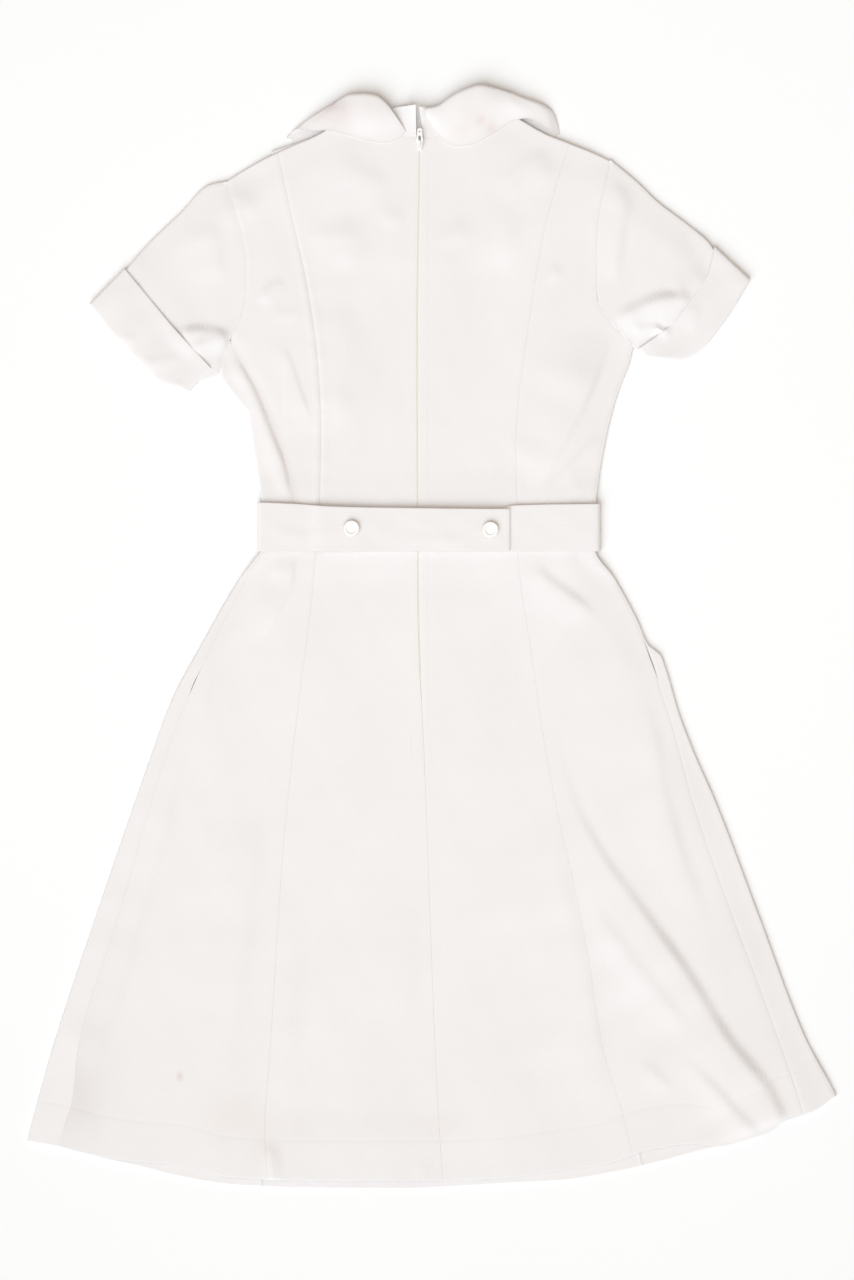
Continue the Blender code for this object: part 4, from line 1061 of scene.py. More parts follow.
@dataclass(frozen=True)
class Moulded:
    """A smooth hard finish whose edges have worn or yellowed."""

    name: str
    colour: tuple[float, float, float]
    edge: tuple[float, float, float]
    roughness: float = 0.25
    edge_metal: float = 0.0
    wear: float = 0.5
    grain: float = 700.0

    def make(self) -> Material:
        """Builds the finish.

        Returns:
            The material.
        """
        loom = Loom(self.name, self.colour, self.roughness, Coat_Roughness=0.2)
        here = loom.place()
        facing = loom.node("ShaderNodeNewGeometry", {}, {}, "Normal")
        _, _, up = loom.split(facing)
        scuff = loom.noise(here, self.grain, 4.0)
        worn = ((1 - up.absolute()) * 1.6 + scuff * 0.8 - 1.25 + self.wear).limited()
        loom.feed("Base Color", loom.blend((*self.colour, 1), (*self.edge, 1), worn))
        loom.feed("Roughness", scuff * 0.18 + self.roughness)
        if self.edge_metal:
            loom.feed("Metallic", worn * self.edge_metal)
        loom.bump(scuff, 0.00004, 0.3)
        return loom.material


# Body

def spread_columns(width: float, pitch: float, fine_start: bool = True, fine_end: bool = True) -> Array:
    """Columns across a panel: fixed steps beside its seams and even shares between.

    Args:
        width: usual width of the panel.
        pitch: usual step between columns.
        fine_start, fine_end: whether each edge has the fixed steps.

    Returns:
        Rows (share, offset from the start, offset from the end).
    """
    start = EDGE_STEPS if fine_start else (0.0,)
    end = EDGE_STEPS if fine_end else (0.0,)
    count = max(2, int((width - start[-1] - end[-1]) / pitch))
    columns = [(0.0, step, end[-1]) for step in start]
    columns += [(k / count, start[-1], end[-1]) for k in range(1, count)]
    columns += [(1.0, start[-1], step) for step in reversed(end)]
    return np.array(columns)


def across_panel(inner: Array, outer: Array, column: Array) -> Array:
    """Where a column runs between a panel's two edges.

    Args:
        inner, outer: x of the edges.
        column: (share, offset from the start, offset from the end).

    Returns:
        The column's x.
    """
    way = np.sign(outer - inner)
    share, start, end = column[..., 0], column[..., 1], column[..., 2]
    return mix(inner + way * start, outer - way * end, share)


def between_seams(inner: Line, outer: Line, columns: Array, y: Array) -> Array:
    """Where a panel's columns run between its two seams."""
    return across_panel(inner(y), outer(y), columns)


@dataclass(frozen=True)
class RowPlan:
    """The rows of points up a panel: fine at its hem and its top edge."""

    hem_steps: tuple = (0, 1, 2.2, 4, 7, 11, 15, 19, 23, 27, 31, 35, 37, 38.2, 39, 39.8, 41, 43, 47, 52)
    above_hem: int = 25
    body: int = 162
    upper: int = 31
    crown: int = 10
    top_steps: tuple = (10, 7, 4.6, 3.0, 2.4, 1.85, 1.4, 1.0, 0.65, 0.3, 0)

    @property
    def underarm(self) -> int:
        """The row that lies at the underarm."""
        return len(self.hem_steps) + self.above_hem - 1 + self.body

    def heights(self, across: Line, count: int, hem: Line, top: Line) -> tuple[Array, Array, Array]:
        """The y of every point of a panel.

        Args:
            across: x of every column at a height given for each.
            count: how many columns there are.
            hem, top: the lower and upper edge, as functions of x.

        Returns:
            y, distance above the hem and distance below the top edge, as rows by columns.
        """
        foot = np.full(count, HEM_STATION)
        for _ in range(12):
            foot = hem(across(foot))
        low, high = np.full(count, CROWN_STATION), np.full(count, 530.0)
        for _ in range(40):
            middle = (low + high) / 2
            inside = top(across(middle)) > middle
            low, high = np.where(inside, middle, low), np.where(inside, high, middle)
        crown = low
        rows = [foot + step for step in self.hem_steps]
        last = rows[-1]
        rows += [mix(last, HEM_STATION, k / self.above_hem) for k in range(1, self.above_hem)]
        rows += [np.full(count, y) for y in np.linspace(HEM_STATION, UNDERARM, self.body + 1)]
        rows += [np.full(count, y) for y in np.linspace(UNDERARM, CROWN_STATION, self.upper + 1)[1:]]
        rows += [mix(CROWN_STATION, crown - self.top_steps[0], k / self.crown) for k in range(1, self.crown)]
        rows += [crown - step for step in self.top_steps]
        y = np.array(rows)
        return y, y - foot, crown - y


def shoulder_share(x: Array) -> Array:
    """1 along the shoulders, 0 between the neck points."""
    left, right = NECK_POINTS
    return np.maximum(ease((left - x) / 4), ease((x - right) / 4))


@dataclass
class Body:
    """The bodice and skirt: seven panels between the hem, the neck, the sides and the armholes."""

    pitch: float = 4.2
    under_pitch: float = 6.5
    return_pitch: float = 3.0
    centre_width: float = 118.0
    flank_width: float = 190.0
    run_width: float = 200.0
    rim: float = 0.1
    fold_columns: int = 10
    gapes: dict = sides((0.8, -44.0, 14.0), (1.0, -22.0, 22.0))  # depth, middle and half length
    rows: RowPlan = RowPlan()
    centre_back: Curve = Curve(CENTRE_BACK)
    hem_back: Curve = Curve(HEM_BACK)
    hem_front: Curve = Curve(HEM_FRONT)
    top_edge: Curve = Curve(TOP_EDGE)
    neck_front: Curve = Curve(NECK_FRONT)
    princess: dict = sides(Curve(PRINCESS_LEFT), Curve(PRINCESS_RIGHT))
    side_seam: dict = sides(Curve(SIDE_SEAM_LEFT), Curve(SIDE_SEAM_RIGHT))
    armhole: dict = sides(Curve(ARMHOLE_LEFT), Curve(ARMHOLE_RIGHT))
    outline: dict = sides(Curve(OUTLINE_LEFT), Curve(OUTLINE_RIGHT))

    def fold_middle(self, side: Side, y: Array) -> Array:
        """Where the fold at the side of the garment is centred.

        Args:
            side: which side.
            y: heights up the garment.

        Returns:
            Its x.
        """
        x = self.outline[side](y)
        radius = (LIE.back(x, y) - LIE.front(x, y)) / 2
        return x - side.away * (radius + HALF)

    def seam_line(self, side: Side, y: Array) -> Array:
        """The side seam, which never runs out past the fold."""
        away = side.away
        return away * np.minimum(away * self.side_seam[side](y), away * self.fold_middle(side, y) - 1.0)

    def outer_edge(self, side: Side, y: Array) -> Array:
        """The side back panel's outer edge: side seam below the underarm, armhole above."""
        seam = np.where(y <= UNDERARM, self.seam_line(side, y), self.armhole[side](y))
        return seam - side.away * SEAM / 2

    def princess_edge(self, side: Side, beyond: int, y: Array) -> Array:
        """An edge at a back princess seam: beyond is -1 for the centre panel, 1 for the side."""
        return self.princess[side](y) + side.away * beyond * SEAM / 2

    def centre_edge(self, side: Side, y: Array) -> Array:
        """The centre back edge, which stands off the middle along the zip.

        Args:
            side: which side.
            y: heights up the garment.

        Returns:
            Its x.
        """
        open_share = ease((y - ZIP_TOP + ZIP_LENGTH + 6) / 10)
        slot = mix(ZIP_SLOT_FOOT, ZIP_SLOT, self.zip_shows(y))
        return self.centre_back(y) + side.away * mix(SEAM, slot, open_share) / 2

    def zip_shows(self, y: Array) -> Array:
        """1 where the coil shows between the two backs, 0 where they meet over its foot."""
        return ease((y + 64) / 30)

    def front_edge(self, side: Side, y: Array, beyond: float = -1.0) -> Array:
        """An edge at a front princess seam: beyond is 1 for the side panel."""
        return self.princess[side](y) + side.away * (FRONT_SEAM_SHIFT + beyond * SEAM / 2)

    def roll_top(self, x: Array, y: Array, z: Array, below: Array, sink: float) -> tuple[Array, Array]:
        """Rolls a panel's top edge towards the other layer along the shoulders.

        Args:
            x, y, z: the panel's points.
            below: distance of each below the top edge.
            sink: -1 for the back, which rolls down, 1 for the front.

        Returns:
            The new y and z.
        """
        radius = (LIE.back(x, y) - LIE.front(x, y)) / 2 - 0.02
        start = radius + KNIT / 2
        turn = np.clip(1 - below / start, 0, 0.95) * math.pi / 2
        share = shoulder_share(x) * (below < start)
        rolled_y = y + below - start + radius * np.sin(turn)
        return mix(y, rolled_y, share), z + sink * share * radius * (1 - np.cos(turn))

    def hem_relief(self, above: Array, along: Array) -> Array:
        """The turned-up hem: cloth raised by its allowance, and the line of hand stitches."""
        stitch = -0.07 * bell((above - HEM_DEPTH) / 1.2) * (1 + 0.5 * np.sin(along / 1.9))
        return 0.09 * ease((HEM_DEPTH - above) / 2.5) + stitch

    def back_panel(
        self, name: str, inner: Line, outer: Line, columns: Array, reliefs: Sequence[SeamRelief]
    ) -> Piece:
        """Builds one panel of the back.

        Args:
            name: the piece's name.
            inner, outer: its seams, as x at a height.
            columns: its columns.
            reliefs: how its inner seam lies, and its outer one below and above the underarm.

        Returns:
            The piece.
        """
        across = partial(between_seams, inner, outer, columns)
        y, above, below = self.rows.heights(across, len(columns), self.hem_back, self.top_edge)
        x = across(y)
        from_inner, from_outer = np.abs(x - inner(y)), np.abs(outer(y) - x)
        upper = ease((y - UNDERARM + 6) / 12)
        inner_seam, lower_seam, upper_seam = reliefs
        z = LIE.back(x, y) + inner_seam.at(from_inner, y)
        z = z + mix(lower_seam.at(from_outer, y), upper_seam.at(from_outer, y), upper)
        z = z + 0.3 * PLAIN_SEAM.at(below, x) * (1 - shoulder_share(x)) + self.hem_relief(above, x)
        # shade painted along the seams' lines
        painted_shade = mix(lower_seam.painted_shade(from_outer, y), upper_seam.painted_shade(from_outer, y), upper)
        painted_shade = inner_seam.painted_shade(from_inner, y) + painted_shade
        rolled_y, z = self.roll_top(x, y, z, below, -1)
        return sew(name, Grid(x, rolled_y, z, from_inner, y, painted_shade=painted_shade), KNIT, self.rim)

    def front_centre(self) -> Piece:
        """Builds the centre front, cut on the fold.

        Returns:
            The piece.
        """
        left, right = partial(self.front_edge, Side.LEFT), partial(self.front_edge, Side.RIGHT)
        width = float(right(490.0) - left(490.0))
        edge = EDGE_STEPS[-1]
        shares = [(u * width - edge) / (width - 2 * edge) for u in FRONT_SPREAD[1:-1]]
        marks = [0.0] + shares + [1.0]
        inner = []
        for a, b in zip(marks, marks[1:]):
            count = max(2, int((b - a) * width / self.under_pitch))
            inner += [mix(a, b, k / count) for k in range(count)]
        columns = [(0.0, step, edge) for step in EDGE_STEPS] + [(s, edge, edge) for s in inner[1:]]
        columns = np.array(columns + [(1.0, edge, step) for step in reversed(EDGE_STEPS)])
        across = partial(between_seams, left, right, columns)
        y, _, below = self.rows.heights(across, len(columns), self.hem_front, self.neck_front)
        x = across(y)
        z = LIE.front(x, y)
        z = z - self.under_seam(np.abs(x - left(y))) - self.under_seam(np.abs(right(y) - x))
        y, z = self.roll_top(x, y, z, below, 1)
        return sew("cloth_front_centre", Grid(x, y, z, x - left(y), y), KNIT, self.rim)

    def under_seam(self, away: Array) -> Array:
        """The valley of a seam on the layer that rests on the floor, which is pressed flat."""
        return -0.5 * bell(away / 1.1)

    def front_side(self, side: Side) -> Piece:
        """Builds a side front: its run under the back, its fold at the outline and its return.

        Args:
            side: which side.

        Returns:
            The piece.
        """
        run = spread_columns(self.run_width, self.under_pitch, True, False)
        back = spread_columns(RETURN_WIDTH, self.return_pitch, False, True)
        fold = np.linspace(0, 1, self.fold_columns + 1)[1:-1]
        run_count, fold_count = len(run), len(fold)
        total = run_count + fold_count + len(back)
        number = np.arange(total)
        on_run = number < run_count
        on_back = number >= run_count + fold_count
        in_fold = ~on_run & ~on_back
        turn = np.zeros(total)
        turn[in_fold] = fold * math.pi
        turn[on_back] = math.pi
        across = partial(self.side_columns, side, run, back)
        hem = partial(self.side_hem, on_run)
        y, above, below = self.rows.heights(across, total, hem, self.top_edge)
        x = across(y)
        low, high = LIE.front(x, y), LIE.back(x, y)
        radius = (high - low) / 2
        from_start = np.abs(x - self.front_edge(side, y, 1.0))
        seam_away = np.abs(x - x[:, -1:])
        narrow = ease(seam_away[:, run_count + fold_count][:, None] / 6)
        z = np.where(on_back, high + SIDE_SEAMS[side].at(seam_away, y) * narrow, low)
        z = np.where(in_fold, low + radius - radius * np.cos(turn), z)
        z = np.where(on_back, z + self.hem_relief(above, x) * ease(seam_away / 3), z)
        z = np.where(on_run, z - self.under_seam(from_start), z)
        # shade painted along the side seam on the return
        painted_shade = np.where(on_back, SIDE_SEAMS[side].painted_shade(seam_away, y), 0)
        x = np.where(in_fold, x + side.away * radius * np.sin(turn), x)
        steps = np.hypot(np.diff(x, axis=1), np.diff(z, axis=1))
        u = np.concatenate([np.zeros((len(x), 1)), np.cumsum(steps, axis=1)], axis=1)
        u = np.where(on_run, from_start, u)
        y, z = self.roll_top(x, y, z, np.where(on_run, below, 50.0), 1)
        row = np.arange(len(y) - 1)[:, None]
        column = np.arange(total - 1)[None, :]
        keep = (column < run_count - 1) | (row < self.rows.underarm)
        grid = Grid(x, y, z, u, y, keep=keep, painted_shade=painted_shade)
        return sew("cloth_front_side_" + side.value, grid, KNIT, self.rim)

    def side_hem(self, on_run: Array, x: Array) -> Array:
        """The hem of a side front, whose return follows the back's."""
        return np.where(on_run, self.hem_front(x), self.hem_back(x))

    def side_columns(self, side: Side, run: Array, back: Array, y: Array) -> Array:
        """Where the columns of a side front run, with those of its fold still at its middle.

        Args:
            side: which side.
            run, back: the columns under the back, and on the return.
            y: the height of every column.

        Returns:
            Their x.
        """
        away = side.away
        depth, middle, half = self.gapes[side]
        bend = self.fold_middle(side, y)
        end = np.where(y <= UNDERARM, bend, self.armhole[side](y) - away * SEAM / 2)
        gape = depth * ease(1 - np.abs(y - middle) / half)
        seam = self.seam_line(side, y) + away * (SEAM / 2 + gape)
        seam = away * np.minimum(away * seam, away * bend - 0.5)
        below, above = np.s_[..., :len(run)], np.s_[..., -len(back):]
        x = bend.copy()
        x[below] = across_panel(self.front_edge(side, y, 1.0)[below], end[below], run)
        x[above] = self.return_columns(bend[above], seam[above], back)
        return x

    def return_columns(self, bend: Array, seam: Array, columns: Array) -> Array:
        """Columns of the narrow return, squeezed where it is narrower than their steps.

        Args:
            bend, seam: x of its two edges.
            columns: its columns.

        Returns:
            The columns' x.
        """
        width = np.abs(seam - bend)
        share = across_panel(np.zeros(1), np.full(1, RETURN_WIDTH), columns) / RETURN_WIDTH
        narrow = bend + (seam - bend) * share
        wide = across_panel(bend, seam, columns)
        return np.where(width > 18, wide, np.where(width < 12, narrow, mix(narrow, wide, (width - 12) / 6)))

    def build(self, plain: Material, stained_and_shaded: Material) -> None:
        """Builds and dresses the seven panels.

        Args:
            plain: the knit.
            stained_and_shaded: the knit with the marks near the hem and its patches of painted shade.
        """
        lay(self.front_centre(), plain)
        for side in Side:
            word, princess = side.value, PRINCESS_SEAMS[side]
            inner, outer = partial(self.princess_edge, side, -1), partial(self.princess_edge, side, 1)
            centre = self.back_panel(
                "cloth_back_centre_" + word, partial(self.centre_edge, side), inner,
                spread_columns(self.centre_width, self.pitch), (CENTRE_SEAM, princess, princess),
            )
            lay(centre, stained_and_shaded)
            flank = self.back_panel(
                "cloth_back_side_" + word, outer, partial(self.outer_edge, side),
                spread_columns(self.flank_width, self.pitch), (princess, SIDE_SEAMS[side], ARMHOLES[side]),
            )
            lay(flank, stained_and_shaded)
            lay(self.front_side(side), plain)


# Sleeves and cuffs

def flat_level(height: float, x: Array, y: Array) -> Array:
    """One height at every plan point."""
    return np.full(np.shape(x), height)


class Patch:
    """A plan area inside four curves: a runs from start to end, b from upper to lower."""

    def __init__(self, start: PlanPath, end: PlanPath, upper: PlanPath, lower: PlanPath) -> None:
        """Keeps the curves and their corners."""
        self.start, self.end, self.upper, self.lower = start, end, upper, lower
        self.corners = [np.array(curve(np.array(t))) for curve in (start, end) for t in (0.0, 1.0)]

    def __call__(self, a: Array, b: Array) -> tuple[Array, Array]:
        """The plan point at (a, b).

        Args:
            a, b: fractions along and across.

        Returns:
            x and y.
        """
        start, end, upper, lower = self.start(b), self.end(b), self.upper(a), self.lower(a)
        result = []
        for k in range(2):
            ruled = mix(start[k], end[k], a) + mix(upper[k], lower[k], b)
            first = mix(self.corners[0][k], self.corners[1][k], b)
            second = mix(self.corners[2][k], self.corners[3][k], b)
            result.append(ruled - mix(first, second, a))
        return result[0], result[1]


@dataclass
class Tube:
    """A flattened tube of cloth on a patch: a top layer, a fold, a bottom layer and a fold."""

    patch: Patch
    low: Level
    top: Level
    across: int = 40
    fold: int = 8
    clear: float = HALF

    def ring(self, a: Array, inset: Array) -> tuple[Array, Array, Array]:
        """Points round the tube.

        Args:
            a: fractions along the tube, one a row.
            inset: how far each row lies inside the tube's own surface.

        Returns:
            x, y and z, as rows by points round.
        """
        ring = 2 * (self.across + self.fold)
        k = np.broadcast_to(np.arange(ring), (len(a), ring))
        a = np.broadcast_to(a[:, None], k.shape)
        inset = np.broadcast_to(inset[:, None], k.shape)
        upper, lower = self.patch(a, np.zeros(k.shape)), self.patch(a, np.ones(k.shape))
        width = np.hypot(upper[0] - lower[0], upper[1] - lower[1])
        radius_u = (self.top(*upper) - self.low(*upper)) / 2
        radius_l = (self.top(*lower) - self.low(*lower)) / 2
        b0, b1 = (radius_u + self.clear) / width, 1 - (radius_l + self.clear) / width
        on_top = k <= self.across
        first_fold = (k > self.across) & (k < self.across + self.fold)
        on_bottom = (k >= self.across + self.fold) & (k <= 2 * self.across + self.fold)
        second_fold = k > 2 * self.across + self.fold
        b = np.where(on_top, k / self.across, 1.0)
        b = np.where(on_bottom, (2 * self.across + self.fold - k) / self.across, b)
        b = np.where(second_fold, 0.0, b)
        b = mix(b0, b1, b)
        x, y = self.patch(a, b)
        low, top = self.low(x, y) + inset, self.top(x, y) - inset
        z = np.where(on_top, top, low)
        for here, start, edge, inward in (
            (first_fold, self.across, 1.0, -0.02),
            (second_fold, 2 * self.across + self.fold, 0.0, 0.02),
        ):
            rim = self.patch(a, np.full(k.shape, edge))
            inside = self.patch(a, np.full(k.shape, edge + inward))
            out_x, out_y = rim[0] - inside[0], rim[1] - inside[1]
            size = np.hypot(out_x, out_y)
            turn = np.pi * (k - start) / self.fold
            radius = (top - low) / 2
            push = radius * np.sin(turn)
            x = np.where(here, x + out_x / size * push, x)
            y = np.where(here, y + out_y / size * push, y)
            sign = 1 if start == self.across else -1
            z = np.where(here, (top + low) / 2 + sign * radius * np.cos(turn), z)
        return x, y, z

    def grid(self, x: Array, y: Array, z: Array) -> Grid:
        """The tube's points with their places on the opened-out cut.

        Args:
            x, y, z: the points.

        Returns:
            The closed grid.
        """
        around = [np.concatenate([w, w[:, :1]], 1) for w in (x, y, z)]
        steps, rise = step_lengths(1, *around), step_lengths(0, x, y, z)
        u, v = running_total(steps[len(steps) // 2]), running_total(rise.mean(axis=1))
        shape = (len(x), len(u))
        return Grid(x, y, z, np.broadcast_to(u, shape), np.broadcast_to(v[:, None], shape), True)


@dataclass
class Sleeve:
    """A short sleeve with its turned-up cuff."""

    side: Side
    body: Body
    top_rows: Rows
    under_rows: Rows
    end_rows: Rows
    cuff_inner: Rows
    cuff_outer: Rows
    pitch: float = 4.0
    cuff_wall: float = 1.1
    cuff_turn: float = 0.9
    lifts: tuple[tuple[float, float, float], ...] = ()  # place across, half width, height

    def sleeve(self) -> Piece:
        """Builds the sleeve from the armhole to its end inside the cuff.

        Returns:
            The piece.
        """
        away = self.side.away
        body = self.body
        heights = np.linspace(self.top_rows[0][1], UNDERARM, 24)
        arm = [(float(body.armhole[self.side](y)) + away * SEAM / 2, y) for y in heights[:-1]]
        bend = float(body.fold_middle(self.side, np.array(UNDERARM)))
        arm.append((bend + away * SEAM, self.under_rows[0][1]))
        upper, lower = [arm[0]] + list(self.top_rows[1:]), [arm[-1]] + list(self.under_rows[1:])
        patch = Patch(PlanPath(arm), PlanPath(self.end_rows), PlanPath(upper), PlanPath(lower))
        tube = Tube(patch, LIE.front, LIE.back)
        middle = patch(np.array([0.0, 1.0]), np.array([0.5, 0.5]))
        length = float(np.hypot(np.diff(middle[0]), np.diff(middle[1]))[0])
        a = np.array([step / length for step in EDGE_STEPS])
        a = np.concatenate([a, np.linspace(a[-1], 1, int(length / self.pitch))[1:]])
        x, y, z = tube.ring(a, np.zeros(len(a)))
        on_top = np.arange(x.shape[1]) <= tube.across
        from_seam = (a * length)[:, None]
        seam = ARMHOLES[self.side]
        z = z + np.where(on_top, seam.at(from_seam, y), -body.under_seam(from_seam))
        grid = tube.grid(x, y, z)
        # shade painted along the armhole seam on the top layer
        grid.painted_shade = np.where(on_top, seam.painted_shade(from_seam, y), 0)
        return sew("cloth_sleeve_" + self.side.value, grid, KNIT, 0.0)

    def cuff(self) -> Piece:
        """Builds the cuff, whose outer edge turns in to meet the sleeve.

        Returns:
            The piece.
        """
        inner, outer = self.cuff_inner, self.cuff_outer
        upper, lower = PlanPath([inner[0], outer[0]]), PlanPath([inner[-1], outer[-1]])
        patch = Patch(PlanPath(inner), PlanPath(outer), upper, lower)
        width = upper.length
        level = HALF + 2 * (CLOTH + REST) + CLOTH + LAYER_GAP
        tube = Tube(patch, partial(flat_level, HALF), partial(flat_level, level))
        body_rows = np.concatenate(
            [[0, 1.0, 2.2, 4.0, 6.5], np.linspace(10, width - 6, 9), [width - 3, width - 1.5]]
        )
        turn = np.linspace(0, math.pi, 7)
        turned = width - self.cuff_turn * (1 - np.sin(turn)) - HALF
        returned = width - HALF - self.cuff_turn - np.array([1.2, 2.6])
        along = np.concatenate([body_rows - HALF * (body_rows > width - 8), turned, returned])
        inset = np.concatenate(
            [np.zeros(len(body_rows)), self.cuff_turn * (1 - np.cos(turn)), np.full(2, 2 * self.cuff_turn)]
        )
        x, y, z = tube.ring(along / width, inset)
        k = np.arange(x.shape[1])
        on_top = (k <= tube.across)[None]
        place = (k / tube.across)[None]
        edge = ease(1 - along / 16)[:, None]
        lift = sum(h * bell((place - at) / half) for at, half, h in self.lifts) * edge
        folds = sum(crease.at(x, y) for crease in CUFF_CREASES)
        inside = ease((width - along) / 5)[:, None] * (inset < 0.01)[:, None]
        soft = 0.35 * np.sin(x * 0.09 + y * 0.05) + 0.2 * np.sin(y * 0.16 - x * 0.1 + 1)
        from_folds = ease(place * tube.across / 3) * ease((1 - place) * tube.across / 3)
        z = z + np.where(on_top, (lift + (folds + soft + 0.35) * inside) * from_folds, 0)
        grid = tube.grid(x, y, z)
        # shade painted along the cuff's inner edge, where it meets the sleeve
        grid.painted_shade = 2.2 * bell(along[:, None] / EDGE_SHADE_REACH) + 0 * x
        return sew("cloth_cuff_" + self.side.value, grid, self.cuff_wall, 0.35)

    def build(self, material: Material) -> None:
        """Builds and dresses the sleeve and its cuff.

        Args:
            material: the knit.
        """
        lay(self.sleeve(), material)
        lay(self.cuff(), material)


# Collar

@dataclass(frozen=True)
class CollarRow:
    """One line across the collar: neck seam, top of the stand, roll and outer edge."""

    neck_x: float
    neck_y: float
    stand_x: float
    stand_y: float
    roll_x: float
    roll_y: float
    edge_x: float
    edge_y: float
    roll: float
    turn: float
    edge_turn: float
    lift: float = 0.0


@dataclass(frozen=True)
class BackRow:
    """A collar line on the back, whose neck_y is the neck seam's."""

    neck_x: float
    stand_x: float
    stand_y: float
    roll_x: float
    roll_y: float
    edge_x: float
    edge_y: float
    roll: float
    edge_turn: float = 0.0
    lift: float = 0.0


COLLAR_BACK = {
    Side.LEFT: [
        BackRow(-14.6, -15.2, 512.6, -42.0, 512.6, -24.7, 488.5, 1.6),
        BackRow(-28.0, -31.0, 511.6, -46.0, 517.2, -30.5, 481.5, 2.0),
        BackRow(-42.0, -44.5, 508.4, -54.6, 523.2, -45.9, 476.4, 2.4),
        BackRow(-56.0, -58.0, 518.2, -66.0, 524.6, -62.0, 478.8, 2.6),
        BackRow(-70.0, -72.5, 519.6, -78.0, 524.0, -80.0, 483.6, 2.4),
        BackRow(-80.0, -83.0, 516.6, -86.5, 519.8, -103.0, 488.8, 2.0, 0.0, 0.5),
        BackRow(-83.4, -87.2, 512.6, -90.0, 517.6, -114.5, 488.2, 1.7, 0.05, 1.0),
        BackRow(-85.9, -90.3, 508.8, -92.5, 514.8, -128.5, 490.5, 1.4, 0.30),
    ],
    Side.RIGHT: [
        BackRow(-7.6, -12.2, 511.0, -8.0, 510.3, -3.6, 500.4, 1.2),
        BackRow(4.0, 2.0, 510.5, 5.0, 512.6, 5.8, 484.2, 2.0),
        BackRow(20.0, 17.6, 514.6, 17.0, 520.8, 23.0, 473.2, 2.4),
        BackRow(34.0, 31.0, 522.6, 30.0, 528.0, 39.0, 475.0, 2.8),
        BackRow(47.0, 46.0, 527.0, 46.5, 532.8, 58.0, 484.8, 2.8),
        BackRow(60.0, 60.5, 524.0, 61.5, 529.8, 79.0, 498.0, 2.2, 0.0, 0.5),
        BackRow(66.0, 67.3, 520.4, 69.2, 527.4, 91.0, 500.2, 1.8, 0.08, 1.0),
        BackRow(71.8, 73.8, 516.2, 76.2, 525.0, 114.0, 490.0, 1.4, 0.35),
    ],
}
# The last line of the back as it goes round the shoulder: outer edge and its turn for each quarter
SHOULDER_EDGES = {
    Side.LEFT: [(-136.0, 486.5, 0.7), (-140.0, 482.6, 0.94), (-139.5, 481.8, 1.0), (-136.5, 482.0, 1.0)],
    Side.RIGHT: [(120.0, 487.2, 0.7), (123.5, 486.0, 0.94), (123.5, 486.5, 1.0), (122.0, 489.0, 1.0)],
}
# On the front: how far along the neckline from the shoulder, and the outer edge there
COLLAR_FRONT = {
    Side.LEFT: [
        (0.06, -133, 470), (0.25, -131, 449), (0.45, -119, 425),
        (0.63, -98, 405), (0.81, -66, 391), (1.0, -33, 387),
    ],
    Side.RIGHT: [
        (0.06, 121, 484), (0.25, 116, 458), (0.45, 104, 431),
        (0.63, 83, 408), (0.81, 50, 392), (1.0, 11, 387),
    ],
}
# Soft forms on the fall: centre x and y, reach and height
COLLAR_PUFFS = {
    Side.LEFT: ((-84.0, 507.0, 11.0, -0.9), (-60.0, 500.0, 14.0, 0.7), (-118.0, 497.0, 9.0, 0.5)),
    Side.RIGHT: ((16.0, 499.0, 8.0, -0.3), (60.0, 512.0, 14.0, 0.6), (95.0, 508.0, 9.0, 0.5)),
}


